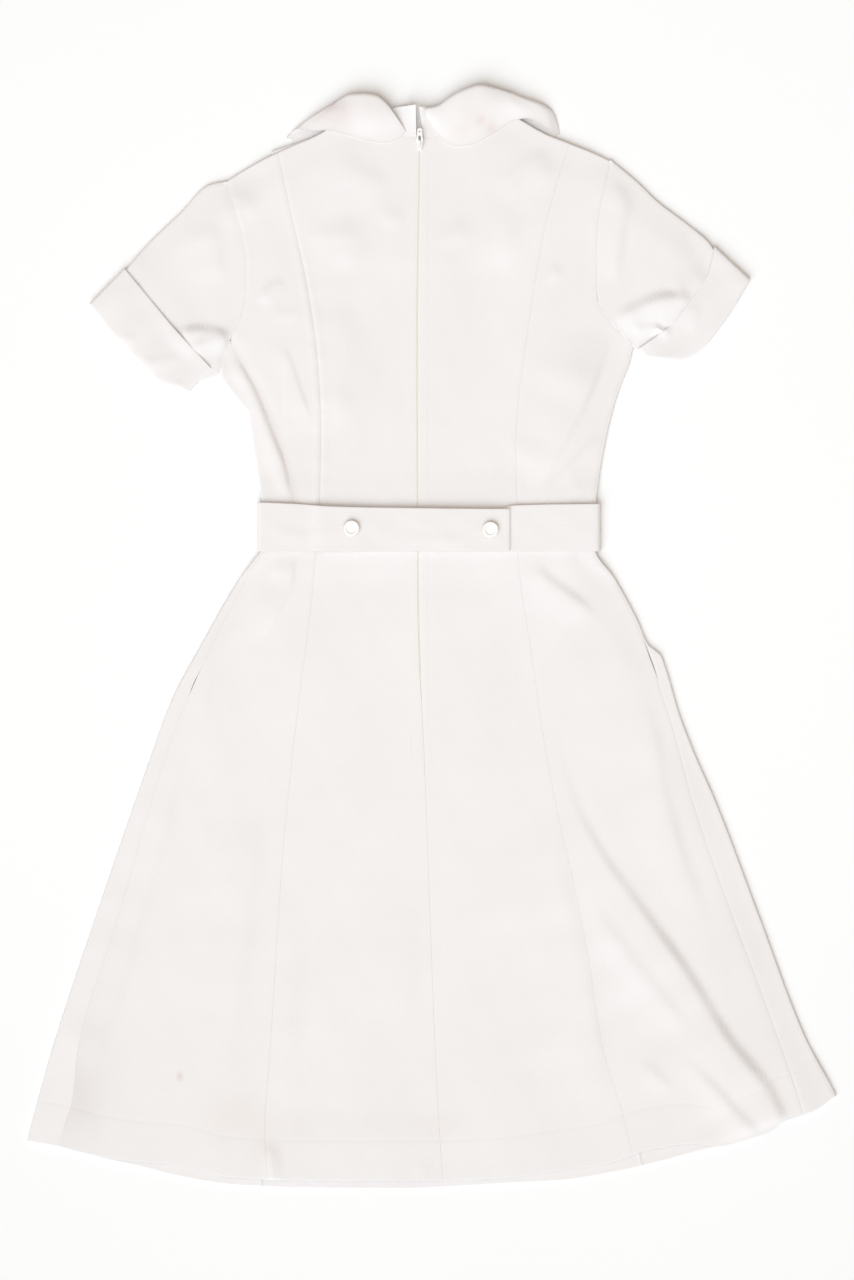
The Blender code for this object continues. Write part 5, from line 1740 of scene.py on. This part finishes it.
@dataclass
class Collar:
    """One half of the rolled collar: a stand from the neck seam, and the fall over it."""

    side: Side
    body: Body
    pitch: float = 2.4
    stand_rows: int = 14
    roll_rows: int = 9
    fall_rows: int = 18
    wall: float = 0.9
    front_stand: float = 6.0
    front_roll: float = 10.0
    neck_centre: tuple[float, float] = (-8.0, 505.0)
    shoulder_reach: float = 0.35
    shoulder_bow: dict = sides(1.5, 12.5)
    corner_rise: dict = sides(7.5, 4.0)

    def seam_points(
        self, inner: Line, outer: Line, spread: Sequence[float], top: Line
    ) -> tuple[Array, Array]:
        """Where a panel's columns meet its top edge.

        Args:
            inner, outer: the panel's seams.
            spread: its columns as shares.
            top: its top edge.

        Returns:
            x and y of the points.
        """
        shares = np.array(spread)
        y = np.full(len(shares), CROWN_STATION)
        for _ in range(8):
            y = top(mix(inner(y), outer(y), shares))
        return mix(inner(y), outer(y), shares), y

    def rows(self) -> list[CollarRow]:
        """Every line across the collar, from the centre back to the centre front.

        Returns:
            The lines.
        """
        body, side, away = self.body, self.side, self.side.away
        left, right = partial(body.front_edge, Side.LEFT), partial(body.front_edge, Side.RIGHT)
        xs, ys = self.seam_points(left, right, FRONT_SPREAD, body.neck_front)
        middle, inner = partial(body.centre_edge, side), partial(body.princess_edge, side, -1)
        back_xs, back_ys = self.seam_points(middle, inner, CENTRE_SPREAD[side.value], body.top_edge)
        order = np.argsort(back_xs)
        rows = []
        for row in COLLAR_BACK[side]:
            seam = max(np.interp(row.neck_x, back_xs[order], back_ys[order]), np.interp(row.neck_x, xs, ys))
            place = (row.neck_x, float(seam) + NECK_GAP, row.stand_x, row.stand_y, row.roll_x, row.roll_y)
            turn = math.pi * row.edge_turn
            rows.append(CollarRow(*place, row.edge_x, row.edge_y, row.roll, 0.0, turn, row.lift))
        last = rows[-1]
        fixed = (last.neck_x, last.neck_y, last.stand_x, last.stand_y, last.roll_x, last.roll_y)
        for k, (edge_x, edge_y, turned) in enumerate(SHOULDER_EDGES[side]):
            turn = math.pi * (k + 1) / 4
            rows.append(CollarRow(*fixed, edge_x, edge_y, last.roll, turn, math.pi * turned))
        columns = FRONT_NECK_COLUMNS[side.value]
        neck_x, neck_y = xs[columns], ys[columns]
        steps = running_total(np.hypot(np.diff(neck_x), np.diff(neck_y)))
        for along, edge_x, edge_y in COLLAR_FRONT[side]:
            x = np.interp(along * steps[-1], steps, neck_x)
            y = np.interp(along * steps[-1], steps, neck_y)
            reach = np.array([self.neck_centre[0] - x, self.neck_centre[1] - y])
            reach /= np.hypot(*reach)
            if along == 1.0:
                x, reach = x + away * SEAM / 2, np.array([0.0, 1.0])
            points = [np.array([x, y]) + reach * d for d in (SEAM, self.front_stand, self.front_roll)]
            rows.append(CollarRow(*points[0], *points[1], *points[2], edge_x, edge_y, 0.9, math.pi, math.pi))
        return rows

    def fine(self) -> tuple[CollarRow, Array]:
        """The lines filled in closely.

        Returns:
            One row whose fields are arrays, and the distance along the collar of each.
        """
        rows = self.rows()
        names = list(CollarRow.__dataclass_fields__)
        table = np.array([[getattr(row, name) for name in names] for row in rows])
        fields = dict(zip(names, table.T))
        plan = np.maximum(
            np.hypot(np.diff(fields["edge_x"]), np.diff(fields["edge_y"])),
            np.hypot(np.diff(fields["roll_x"]), np.diff(fields["roll_y"])),
        )
        step = np.maximum(plan, np.abs(np.diff(fields["turn"])) / math.pi * 16)
        along = running_total(step)
        even = np.linspace(0, along[-1], int(along[-1] / self.pitch))
        fine = np.unique(np.concatenate([even, [1.0, along[-1] - 1.0]]))
        filled = {name: Curve(list(zip(along, values)))(fine) for name, values in fields.items()}
        return CollarRow(**filled), fine

    def between(self, top: Array, low: Array, turn: Array) -> Array:
        """The height of a wall that turns from the back's level to the front's."""
        return (top + low) / 2 + (top - low) / 2 * np.cos(turn)

    def stand(self) -> Piece:
        """Builds the stand.

        Returns:
            The piece.
        """
        line, along = self.fine()
        t = np.concatenate([[0, 0.02, 0.05, 0.1], np.linspace(0.18, 1, self.stand_rows)])[:, None]
        x = mix(line.neck_x, line.stand_x, t)
        y = mix(line.neck_y, line.stand_y, t)
        high, low = LIE.back(x, y), LIE.front(x, y)
        on_back = (1 + np.cos(line.turn)) / 2
        from_seam = t * np.hypot(line.stand_x - line.neck_x, line.stand_y - line.neck_y)
        dip = 0.3 * PLAIN_SEAM.at(from_seam, along[None]) * on_back
        from_back = np.abs(x - x[:, :1])
        rise = self.corner_rise[self.side] * t ** 1.4 * bell(from_back / 9) * on_back
        z = self.between(high, low, line.turn) + dip + rise
        x = x + self.side.away * (high - low) / 2 * np.sin(line.turn)
        steps = np.hypot(np.diff(x[8]), np.diff(y[8]))
        u = np.broadcast_to(running_total(steps), x.shape)
        return sew("cloth_collar_stand_" + self.side.value, Grid(x, y, z, u, from_seam), KNIT, 0.0)

    def fall(self) -> Piece:
        """Builds the fall: over the roll and down to the outer edge.

        Returns:
            The piece.
        """
        line, along = self.fine()
        across_x, across_y = line.edge_x - line.roll_x, line.edge_y - line.roll_y
        size = np.hypot(across_x, across_y)
        across_x, across_y = across_x / size, across_y / size
        out_x, out_y = -across_y * self.side.away, across_x * self.side.away
        stand_back = LIE.back(line.stand_x, line.stand_y)
        roll_back = stand_back + 2 * (line.roll + HALF)
        edge_back = LIE.back(line.edge_x, line.edge_y) + (KNIT + self.wall) / 2 + 0.05 + line.lift * 1.5
        stand = self.between(stand_back, LIE.front(line.stand_x, line.stand_y), line.turn)
        start = self.between(roll_back, HALF, line.turn)
        edge = self.between(edge_back, HALF, line.edge_turn)
        radius = np.abs(start - stand) / 2
        centre_x = line.roll_x + across_x * (radius + HALF)
        centre_y = line.roll_y + across_y * (radius + HALF)
        shoulder = (line.turn > 0.01) & (line.turn < math.pi - 0.01)
        bow = self.shoulder_bow[self.side] * bell((along - along[shoulder].mean()) / 15)
        xs, ys, zs = [], [], []
        for angle in np.linspace(0, math.pi, self.roll_rows):
            reach = self.shoulder_reach * (roll_back - HALF) / 2 * np.sin(line.turn)
            xs.append(centre_x - across_x * radius * math.sin(angle) + out_x * reach)
            ys.append(centre_y - across_y * radius * math.sin(angle) + out_y * reach)
            zs.append(mix(stand, start, (1 - math.cos(angle)) / 2))
        length = np.hypot(line.edge_x - centre_x, line.edge_y - centre_y)
        ends = 1 - np.array([2.4, 1.2, 0.0]) / length.mean()
        for t in np.concatenate([np.linspace(0, ends[0], self.fall_rows)[1:-1], ends]):
            turn = mix(line.turn, line.edge_turn, ease(t))
            height = (mix(roll_back, edge_back, t) - HALF) / 2
            reach = self.shoulder_reach * height * np.sin(line.turn) * (1 - t)
            reach = reach + bow * math.sin(math.pi * t ** 1.45)
            x = mix(centre_x, line.edge_x, t) + out_x * reach
            y = mix(centre_y, line.edge_y, t) + out_y * reach
            z = mix(start, edge, ease(t))
            bulge = 0.8 * math.sin(math.pi * t) * (1 + np.cos(turn)) / 2
            for cx, cy, wide, high in COLLAR_PUFFS[self.side]:
                near = bell((x - cx) / wide) * bell((y - cy) / wide)
                bulge = bulge + high * near * (1 + np.cos(turn)) / 2
            on_back = turn < 0.35
            z = z + bulge * math.sin(math.pi * min(t, 0.9)) ** 0.5 if t else z
            z = np.where(on_back, np.maximum(z, LIE.back(x, y) + (KNIT + self.wall) / 2 + 0.05), z)
            xs.append(x)
            ys.append(y)
            zs.append(z)
        x, y, z = np.array(xs), np.array(ys), np.maximum(np.array(zs), HALF)
        v = np.concatenate([np.zeros((1, x.shape[1])), np.cumsum(step_lengths(0, x, y, z), axis=0)])
        u = np.broadcast_to(along, x.shape)
        # shade painted along the fall's outer edge and its end at the centre back
        from_end = np.minimum(v[-1:] - v, u)
        painted_shade = 3.0 * bell(from_end / EDGE_SHADE_REACH)
        return sew("cloth_collar_" + self.side.value, Grid(x, y, z, u, v, painted_shade=painted_shade), self.wall, 0.3)

    def build(self, material: Material) -> None:
        """Builds and dresses the half collar.

        Args:
            material: the knit.
        """
        lay(self.stand(), material)
        lay(self.fall(), material)


# Pockets, belt and buttons

@dataclass
class Pocket:
    """A pocket bag of thin woven cloth, flat between the front and the back."""

    side: Side
    body: Body
    wall: float = 0.9
    solid_wall: float = 1.2
    top: float = 56.0
    bottom: float = -150.0
    depth: float = 112.0
    inset: float = 21.0

    def build(self, material: Material) -> None:
        """Builds and dresses the bag.

        Args:
            material: its finish.
        """
        v, u = np.meshgrid(np.linspace(0, 1, 43), np.linspace(0, 1, 23), indexing="ij")
        y = mix(self.bottom, self.top, v)
        depth = self.depth * (1 - 0.35 * (2 * v - 1) ** 4)
        x = self.body.outline[self.side](y) - self.side.away * (self.inset + depth * u)
        z = LIE.front(x, y) + HALF + REST + self.solid_wall / 2 - 0.1
        item = sew("cloth_pocket_" + self.side.value, Grid(x, y, z, depth * u, y), self.wall, 0.2)
        lay(item, material, "pocket_cloth")


@dataclass
class Belt:
    """The belt: from its hidden end right round the waist to its buttoned end."""

    left: float = -168.2
    right: float = 163.2
    under_end: float = -104.0
    top_end: float = 75.3
    level: float = 8.8
    bottom: float = 82.6
    pitch: float = 4.0
    rim: float = 0.7
    top_rows: tuple = ((-170, 130), (-130, 128.3), (-97, 125.8), (-13, 124.2), (76, 123.4), (200, 123.4))
    under_rows: tuple = ((-110, 121), (60, 122.5), (80, 127), (165, 128.5))

    def stretch(self, start: float, end: float) -> Array:
        """Steps along a straight part."""
        return np.linspace(start, end, max(3, int(abs(end - start) / self.pitch)))

    def run(self) -> tuple[Array, Array, Array, Array]:
        """The belt's line seen along the waist.

        Returns:
            x, z, 1 where it is the hidden under end, and 1 where it lies on the dress.
        """
        low = BELT / 2
        radius, middle = (self.level - low) / 2, (self.level + low) / 2
        right, left = self.right - radius - BELT / 2, self.left + radius + BELT / 2
        over = self.level + BELT + REST
        turn = np.linspace(0, math.pi, 13)
        parts = [
            (self.stretch(self.under_end, right), self.level, 1.0, 1.0),
            (right + radius * np.sin(turn[1:-1]), middle + radius * np.cos(turn[1:-1]), 1.0, 0.0),
            (np.linspace(right, left, 48), low, 0.0, 0.0),
            (left - radius * np.sin(turn[1:-1]), middle - radius * np.cos(turn[1:-1]), 0.0, 0.0),
        ]
        rise = self.under_end - 3
        top = self.stretch(left, self.top_end)
        parts.append((top, mix(self.level, over, ease((top - rise + 12) / 12)), 0.0, 1.0))
        columns = [[np.broadcast_to(value, np.shape(part[0])) for value in part] for part in parts]
        return tuple(np.concatenate([column[k] for column in columns]) for k in range(4))

    def strap(self) -> Piece:
        """Builds the belt itself.

        Returns:
            The piece.
        """
        x, z, hidden, loose = self.run()
        upper = np.where(hidden > 0.5, Curve(self.under_rows)(x), Curve(self.top_rows)(x))
        t = np.concatenate([[0, 0.03, 0.06], np.linspace(0.12, 0.88, 11), [0.94, 0.97, 1]])[:, None]
        y = mix(self.bottom, upper, t) + 0 * x
        along = running_total(np.hypot(np.diff(x), np.diff(z)))
        x = np.broadcast_to(x, y.shape)
        soft = 0.16 * np.sin(x * 0.05 + 1) + 0.1 * np.sin(x * 0.13 + y * 0.2)
        streaks = (
            Crease(((-152, 104), (-120, 101), (-91, 103)), 3, 6, 0.45).at(x, y)
            + Crease(((-33, 103), (-10, 98), (8, 95), (40, 99)), 3, 7, 0.45).at(x, y)
        )
        z = z + loose * (soft + streaks) * np.sin(math.pi * t) ** 0.5
        # shade painted along both long edges of the belt
        painted_shade = 1.5 * bell(np.minimum(t, 1 - t) * BELT_WIDTH / EDGE_SHADE_REACH) + 0 * x
        grid = Grid(x, y, z, y, np.broadcast_to(along, y.shape), painted_shade=painted_shade)
        return sew("cloth_belt", grid, BELT, self.rim)

    def build(self, material: Material) -> None:
        """Builds and dresses the belt."""
        lay(self.strap(), material)


def move_to(x: float, y: float, z: float = 0.0) -> Matrix:
    """A move by so many millimetres."""
    return Matrix.Translation((x * MM, y * MM, z * MM))


def repeat(name: str, model: Piece, places: Sequence[Matrix]) -> Piece:
    """Copies a small model to many places as one mesh.

    Args:
        name: the new piece's name.
        model: the shape, round the origin.
        places: where each copy goes.

    Returns:
        The new piece.
    """
    points = np.array([v.co[:] for v in model.data.vertices])
    faces = [list(face.vertices) for face in model.data.polygons]
    all_points, all_faces = [], []
    for place in places:
        turn, shift = np.array(place.to_3x3()), np.array(place.translation)
        start = len(all_points) * len(points)
        all_points.append(points @ turn.T + shift)
        all_faces += [[start + k for k in face] for face in faces]
    mesh = bpy.data.meshes.new(name)
    mesh.from_pydata(np.concatenate(all_points).tolist(), [], all_faces)
    item = add(name, mesh)
    smooth(item, 50.0)
    return item


@dataclass
class Buttons:
    """The belt's two flat buttons with raised rims, each on its stalk of thread."""

    places: dict = sides((-77.1, 104.6), (56.6, 103.4))
    base: float = 12.4
    diameter: float = 15.4
    height: float = 2.6
    shank_radius: float = 1.3
    thread: float = 0.28

    def disc(self) -> Piece:
        """Models a button as turned plastic: a disc, its rim and its dished middle.

        Returns:
            The button, centred over the origin.
        """
        radius = self.diameter / 2 * MM
        bpy.ops.object.select_all(action="DESELECT")
        bpy.ops.mesh.primitive_cylinder_add(
            vertices=64, radius=radius, depth=self.height * MM,
            location=(0, 0, (self.base + self.height / 2) * MM),
        )
        item = bpy.context.object
        bpy.ops.object.transform_apply(location=True, rotation=True, scale=True)
        for up, steps in (
            (True, ((0.7, 0.32), (1.5, 0.0), (0.6, -0.55), (1.6, -0.12), (1.6, 0.06))),
            (False, ((1.2, 0.0), (0.8, 0.3))),
        ):
            self.face(item, up)
            with edit_mode():
                for thickness, rise in steps:
                    bpy.ops.mesh.inset(thickness=thickness * MM, depth=rise * MM)
        soften(item, 0.4, 4, 28.0)
        smooth(item, 50.0)
        return item

    def face(self, item: Piece, up: bool) -> None:
        """Selects the flat end face of the disc.

        Args:
            item: the disc.
            up: whether it is the upper one.
        """
        with edit_mode():
            bpy.ops.mesh.select_mode(type="FACE")
            bpy.ops.mesh.select_all(action="DESELECT")
        for face in item.data.polygons:
            face.select = (face.normal.z > 0.9) if up else (face.normal.z < -0.9)

    def stalk(self) -> Piece:
        """Models the stalk by spinning the thread's round section.

        Returns:
            The stalk, centred over the origin.
        """
        bpy.ops.object.select_all(action="DESELECT")
        bpy.ops.mesh.primitive_circle_add(
            vertices=10, radius=self.thread * MM, rotation=(math.pi / 2, 0, 0),
            location=(self.shank_radius * MM, 0, (self.base - 0.05) * MM),
        )
        item = bpy.context.object
        bpy.ops.object.transform_apply(location=True, rotation=True, scale=True)
        centre = (0, 0, (self.base - 0.05) * MM)
        with edit_mode():
            bpy.ops.mesh.select_all(action="SELECT")
            bpy.ops.mesh.spin(steps=24, angle=math.tau, center=centre, axis=(0, 0, 1))
            bpy.ops.mesh.select_all(action="SELECT")
            bpy.ops.mesh.remove_doubles(threshold=1e-5)
            bpy.ops.mesh.normals_make_consistent(inside=False)
        item.data.shade_smooth()
        return item

    def build(self, material: Material, thread: Material) -> None:
        """Models both pieces once and places a copy of each on the belt for either side.

        Args:
            material: the button's finish.
            thread: the thread's finish.
        """
        disc, stalk = self.disc(), self.stalk()
        for side, (x, y) in self.places.items():
            place = [move_to(x, y)]
            item = repeat("button_" + side.value, disc, place)
            dress(item, material, "button", "belt_button_" + side.value)
            dress(repeat("shank_" + side.value, stalk, place), thread, "zip_tape")
        for model in (disc, stalk):
            bpy.data.objects.remove(model, do_unlink=True)


# Zip

def bar(name: str, low: Sequence[float], high: Sequence[float]) -> Piece:
    """A box between two corners, in millimetres, with its place in its mesh.

    Args:
        name: its name.
        low, high: the corners.

    Returns:
        The box.
    """
    bpy.ops.object.select_all(action="DESELECT")
    middle = [(a + b) / 2 * MM for a, b in zip(low, high)]
    size = [(b - a) * MM for a, b in zip(low, high)]
    bpy.ops.mesh.primitive_cube_add(size=1, location=middle, scale=size)
    item = bpy.context.object
    item.name = name
    bpy.ops.object.transform_apply(location=True, rotation=True, scale=True)
    return item


def squeeze(item: Piece, x: float, share: Callable[[float], float]) -> None:
    """Narrows a piece about a line along Y.

    Args:
        item: the piece.
        x: where the line runs.
        share: how much of the width stays, by y.
    """
    for vertex in item.data.vertices:
        vertex.co.x = x * MM + (vertex.co.x - x * MM) * share(vertex.co.y / MM)


def cut(item: Piece, tool: Piece, way: str = "DIFFERENCE") -> None:
    """Cuts a solid out of a piece, or joins it to the piece, and removes it."""
    apply_modifier(item, "BOOLEAN", operation=way, object=tool, solver="EXACT")
    bpy.data.objects.remove(tool, do_unlink=True)


@dataclass
class Zip:
    """The back zip: tapes, coil, slider and pull, with the rows of stitches that hold it."""

    body: Body
    tape_width: float = 12.0
    tape: float = 0.6
    coil_pitch: float = 1.4
    slider_top: float = 479.2
    slider_bottom: float = 468.4
    slider_width: float = 6.4
    slider_narrow: float = 3.0
    slider: float = 1.2
    axis_y: float = 477.6
    pull_length: float = 12.9
    pull_wide: float = 6.6
    pull_narrow: float = 4.4
    pull_corner: float = 1.85
    axis_rise: float = 2.1  # of the pull's axis above the slider's underside
    window_half: float = 1.15
    window_span: tuple[float, float] = (0.5, 5.4)  # from the axis
    hole_at: float = 9.5
    hole_radius: float = 0.75
    pull: float = 0.9
    bar_radius: float = 0.5
    stitch: float = 2.4

    def level(self, y: Array) -> Array:
        """Height of the back beside the zip."""
        return LIE.back(self.body.centre_back(y), y)

    def tapes(self, material: Material) -> None:
        """Lays both tapes under the edges of the back.

        Args:
            material: their finish.
        """
        for side in Side:
            y, share = np.meshgrid(
                np.linspace(ZIP_TOP - ZIP_LENGTH + 6, ZIP_TOP - 1, 150), np.linspace(0, 1, 7), indexing="ij"
            )
            offset = side.away * mix(SEAM / 2, self.tape_width, share)
            x = self.body.centre_back(y) + offset
            z = LIE.back(x, y) - (HALF + REST + self.tape / 2 + 0.2)
            item = sew("cloth_zip_tape_" + side.value, Grid(x, y, z, np.abs(offset), y), self.tape)
            lay(item, material, "zip_tape")

    def coil(self, material: Material) -> None:
        """Models one coil loop and repeats it down both sides.

        Args:
            material: its finish.
        """
        model = bar("loop", (-0.75, -0.42, -0.5), (0.75, 0.42, 0.5))
        apply_modifier(model, "BEVEL", width=0.3 * MM, segments=1)
        low, high = ZIP_TOP - ZIP_LENGTH + 1, self.slider_top - 4
        places = []
        for k in range(int((high - low) / self.coil_pitch)):
            for n, away in enumerate((-1, 1)):
                y = low + (k + 0.5 * n) * self.coil_pitch
                x = float(self.body.centre_back(y)) + away * 0.42
                z = float(self.level(np.array(y)) + mix(-1.15, 0.25, self.body.zip_shows(y)))
                turn = Matrix.Rotation(away * 0.12, 4, "Z")
                places.append(move_to(x, y, z) @ turn)
        item = repeat("zip_coil", model, places)
        bpy.data.objects.remove(model, do_unlink=True)
        dress(item, material, "zip_chain", "zip_chain")

    def stitches(self, material: Material) -> None:
        """Models one stitch and repeats it beside the zip and round its lower end.

        Args:
            material: the thread's finish.
        """
        model = bar("stitch", (-0.25, -0.95, -0.2), (0.25, 0.95, 0.2))
        apply_modifier(model, "BEVEL", width=0.15 * MM, segments=1)
        lines = [
            [(-3.9, 470), (-3.9, 300), (-3.9, 135)],
            [(-3.9, 80), (-3.9, 0), (-3.9, -94)],
            [
                (-20, -95), (-19.5, -112), (-17.9, -116), (-15, -124.5),
                (-6.4, -125.5), (-0.6, -120.5), (-1.2, -95),
            ],
        ]
        places = []
        for line in lines:
            path = PlanPath(line)
            count = int(path.length / self.stitch)
            for k in range(count):
                (x0, y0), (x1, y1) = path(np.array(k / count)), path(np.array((k + 0.9) / count))
                x, y = (x0 + x1) / 2, (y0 + y1) / 2
                z = float(LIE.back(x, y)) + KNIT / 2 - 0.12
                turn = Matrix.Rotation(math.atan2(y1 - y0, x1 - x0) - math.pi / 2, 4, "Z")
                places.append(move_to(x, y, z) @ turn)
        item = repeat("zip_stitches", model, places)
        bpy.data.objects.remove(model, do_unlink=True)
        dress(item, material, "zip_tape")

    def slider_levels(self) -> tuple[float, float, float]:
        """Heights of the slider plate's underside, its top and the pull's axis."""
        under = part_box("zip_slider")[0][2] / MM
        return under, under + self.slider, under + self.axis_rise

    def slider_share(self, y: float) -> float:
        """How much of its full width the slider has."""
        t = (y - self.slider_bottom) / (self.slider_top - self.slider_bottom)
        return mix(self.slider_narrow / self.slider_width, 1.0, float(ease(t * 1.25)))

    def pull_share(self, y: float) -> float:
        """How much of its full width the pull tab has."""
        return self.pull_narrow / self.pull_wide if y > self.axis_y + 1 else 1.0

    def slider_piece(self, material: Material) -> None:
        """Models the slider: a plate wide at its mouth, side walls and the bridge.

        Args:
            material: its finish.
        """
        under, over, _ = self.slider_levels()
        x = float(self.body.centre_back(self.slider_top))
        half = self.slider_width / 2
        low, high = (x - half, self.slider_bottom, under), (x + half, self.slider_top, over)
        item = bar("zip_slider_body", low, high)
        with edit_mode():
            bpy.ops.mesh.subdivide(number_cuts=3)
        squeeze(item, x, self.slider_share)
        soften(item, 0.55, 3)
        centre = self.axis_y - 0.6
        arch = bar("bridge", (x - 0.75, centre - 4.3, over - 0.3), (x + 0.75, centre + 2.1, over + 2.6))
        soften(arch, 0.9, 4)
        hollow = bar("hollow", (x - 2, centre - 3.6, over - 1), (x + 2, centre + 1.4, over + 1.9))
        soften(hollow, 0.5, 3)
        cut(arch, hollow)
        cut(item, arch, "UNION")
        smooth(item, 40.0)
        dress(item, material, "zip_enamel", "zip_slider")

    def pull_piece(self, material: Material) -> None:
        """Models the pull tab: a tapered plate with a window round the bridge and a hole.

        Args:
            material: its finish.
        """
        _, _, axis = self.slider_levels()
        x = float(self.body.centre_back(self.slider_top))
        half, thick = self.pull_wide / 2, self.pull / 2
        item = bar(
            "zip_pull_tab",
            (x - half, self.axis_y - self.bar_radius, axis - thick),
            (x + half, self.axis_y + self.pull_length, axis + thick),
        )
        squeeze(item, x, self.pull_share)
        with edit_mode():
            bpy.ops.mesh.select_all(action="DESELECT")
            bpy.ops.mesh.select_mode(type="EDGE")
        for edge in item.data.edges:
            a, b = (item.data.vertices[k].co for k in edge.vertices)
            edge.select = abs(a.z - b.z) > 1e-5 and a.y / MM > self.axis_y + 1
        with edit_mode():
            bpy.ops.mesh.bevel(offset=self.pull_corner * MM, segments=8, affect="EDGES")
        near, far = (self.axis_y + step for step in self.window_span)
        low, high = (x - self.window_half, near, axis - 2), (x + self.window_half, far, axis + 2)
        window = bar("window", low, high)
        soften(window, 0.4, 3)
        cut(item, window)
        bpy.ops.object.select_all(action="DESELECT")
        bpy.ops.mesh.primitive_cylinder_add(
            vertices=32, radius=self.hole_radius * MM, depth=4 * MM,
            location=(x * MM, (self.axis_y + self.hole_at) * MM, axis * MM),
        )
        cut(item, bpy.context.object)
        soften(item, 0.16, 2)
        smooth(item, 40.0)
        dress(item, material, "zip_enamel", "zip_pull")

    def build(self, tape: Material, coil: Material, enamel: Material, thread: Material) -> None:
        """Builds and dresses every piece of the zip.

        Args:
            tape, coil, enamel, thread: the finishes.
        """
        self.tapes(tape)
        self.coil(coil)
        self.stitches(thread)
        self.slider_piece(enamel)
        self.pull_piece(enamel)


# Studio

@dataclass
class Studio:
    """Pale floor, warm fill, a broad cool main light, a soft one overhead, and the camera."""

    centre: tuple[float, float] = (-0.0044, -0.0029)
    frame_height: float = 1.2352
    lens: float = 85.0
    sensor: float = 36.0
    main_colour: tuple[float, float, float] = (0.81, 0.91, 1.0)
    main_strength: float = 2.72
    main_spread: float = 58.0
    main_elevation: float = 45.0
    main_way: tuple[float, float] = (0.42, 0.91)  # plan direction away from the main light
    over_place: tuple[float, float, float] = (-0.05, 0.1, 1.7)
    over_size: float = 0.7
    over_watts: float = 4.2
    fill: tuple[float, float, float] = (0.474, 0.408, 0.352)

    def lamp(self, name: str, kind: str, place: Sequence[float], **settings: object) -> None:
        """Hangs one light that points at the middle of the floor.

        Args:
            name: its name.
            kind: SUN or AREA.
            place: where it hangs.
            settings: its own settings.
        """
        data = bpy.data.lights.new(name, kind)
        for key, value in settings.items():
            setattr(data, key, value)
        item = add(name, data)
        item.location = place
        item.rotation_euler = (-Vector(place)).to_track_quat("-Z", "Y").to_euler()

    def build(self) -> None:
        """Makes the floor, lights, world and camera."""
        bpy.ops.object.select_all(action="DESELECT")
        bpy.ops.mesh.primitive_plane_add(size=9.0, location=(0, 0, 0))
        floor = bpy.context.object
        floor.name = "studio_floor"
        loom = Loom("floor_paper", (0.9, 0.9, 0.895), 0.95, Specular_IOR_Level=0.0)
        tone = loom.noise(loom.place(), 3.0, 2.0)
        loom.feed("Base Color", loom.blend((0.918, 0.918, 0.913, 1), (0.908, 0.908, 0.903, 1), tone))
        floor.data.materials.append(loom.material)

        rise = math.radians(self.main_elevation)
        way = -Vector(self.main_way).normalized() * math.cos(rise)
        self.lamp(
            "main_light", "SUN", (3 * way.x, 3 * way.y, 3 * math.sin(rise)),
            energy=self.main_strength, angle=math.radians(self.main_spread), color=self.main_colour,
        )
        self.lamp(
            "over_light", "AREA", self.over_place, shape="DISK", size=self.over_size, energy=self.over_watts
        )
        world = bpy.data.worlds.new("studio")
        world.use_nodes = True
        world.node_tree.nodes["Background"].inputs[0].default_value = (*self.fill, 1.0)
        bpy.context.scene.world = world

        data = bpy.data.cameras.new("camera")
        data.lens = self.lens
        data.sensor_fit = "VERTICAL"
        data.sensor_height = self.sensor
        camera = add("camera", data)
        camera.location = (*self.centre, self.frame_height * self.lens / self.sensor + 0.006)
        bpy.context.scene.camera = camera
        bpy.context.scene.view_settings.view_transform = "Standard"


def main() -> None:
    """Builds every sub-assembly in order."""
    logging.basicConfig(level=logging.INFO, format="%(message)s")
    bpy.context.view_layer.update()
    Studio().build()
    knit = Knit("double_knit").make()
    skirt_knit = Knit("double_knit_skirt", stains_and_shade=BACK_STAINS_AND_SHADE).make()
    collar_knit = Knit("double_knit_collar", stains_and_shade=COLLAR_STAINS_AND_SHADE).make()
    pocket_cloth = Woven("pocket_cloth", (0.78, 0.75, 0.72)).make()
    tape = Woven("zip_tape", (0.80, 0.765, 0.71), 0.45).make()
    coil = Moulded("zip_coil", (0.93, 0.875, 0.76), (0.88, 0.80, 0.65), 0.45, wear=0.1).make()
    enamel = Moulded("zip_enamel", (0.90, 0.90, 0.885), (0.42, 0.40, 0.37), 0.24, edge_metal=0.85).make()
    shell = Moulded("button_plastic", (0.90, 0.89, 0.87), (0.62, 0.47, 0.32), 0.16, wear=0.55).make()
    thread = Woven("thread", (0.80, 0.77, 0.75), 0.3, 0.00008).make()

    body = Body()
    body.build(knit, skirt_knit)
    Sleeve(
        Side.LEFT, body, SLEEVE_TOP_LEFT, SLEEVE_UNDER_LEFT, SLEEVE_END_LEFT,
        CUFF_INNER_LEFT, CUFF_OUTER_LEFT, lifts=((0.70, 0.17, 2.0), (0.3, 0.12, 0.4)),
    ).build(knit)
    Sleeve(
        Side.RIGHT, body, SLEEVE_TOP_RIGHT, SLEEVE_UNDER_RIGHT, SLEEVE_END_RIGHT,
        CUFF_INNER_RIGHT, CUFF_OUTER_RIGHT, lifts=((0.58, 0.13, 1.0), (0.775, 0.035, 2.4)),
    ).build(knit)
    for side in Side:
        Collar(side, body).build(collar_knit)
        Pocket(side, body).build(pocket_cloth)
    Belt().build(knit)
    Buttons().build(shell, thread)
    Zip(body).build(tape, coil, enamel, thread)


if __name__ == "__main__":
    main()
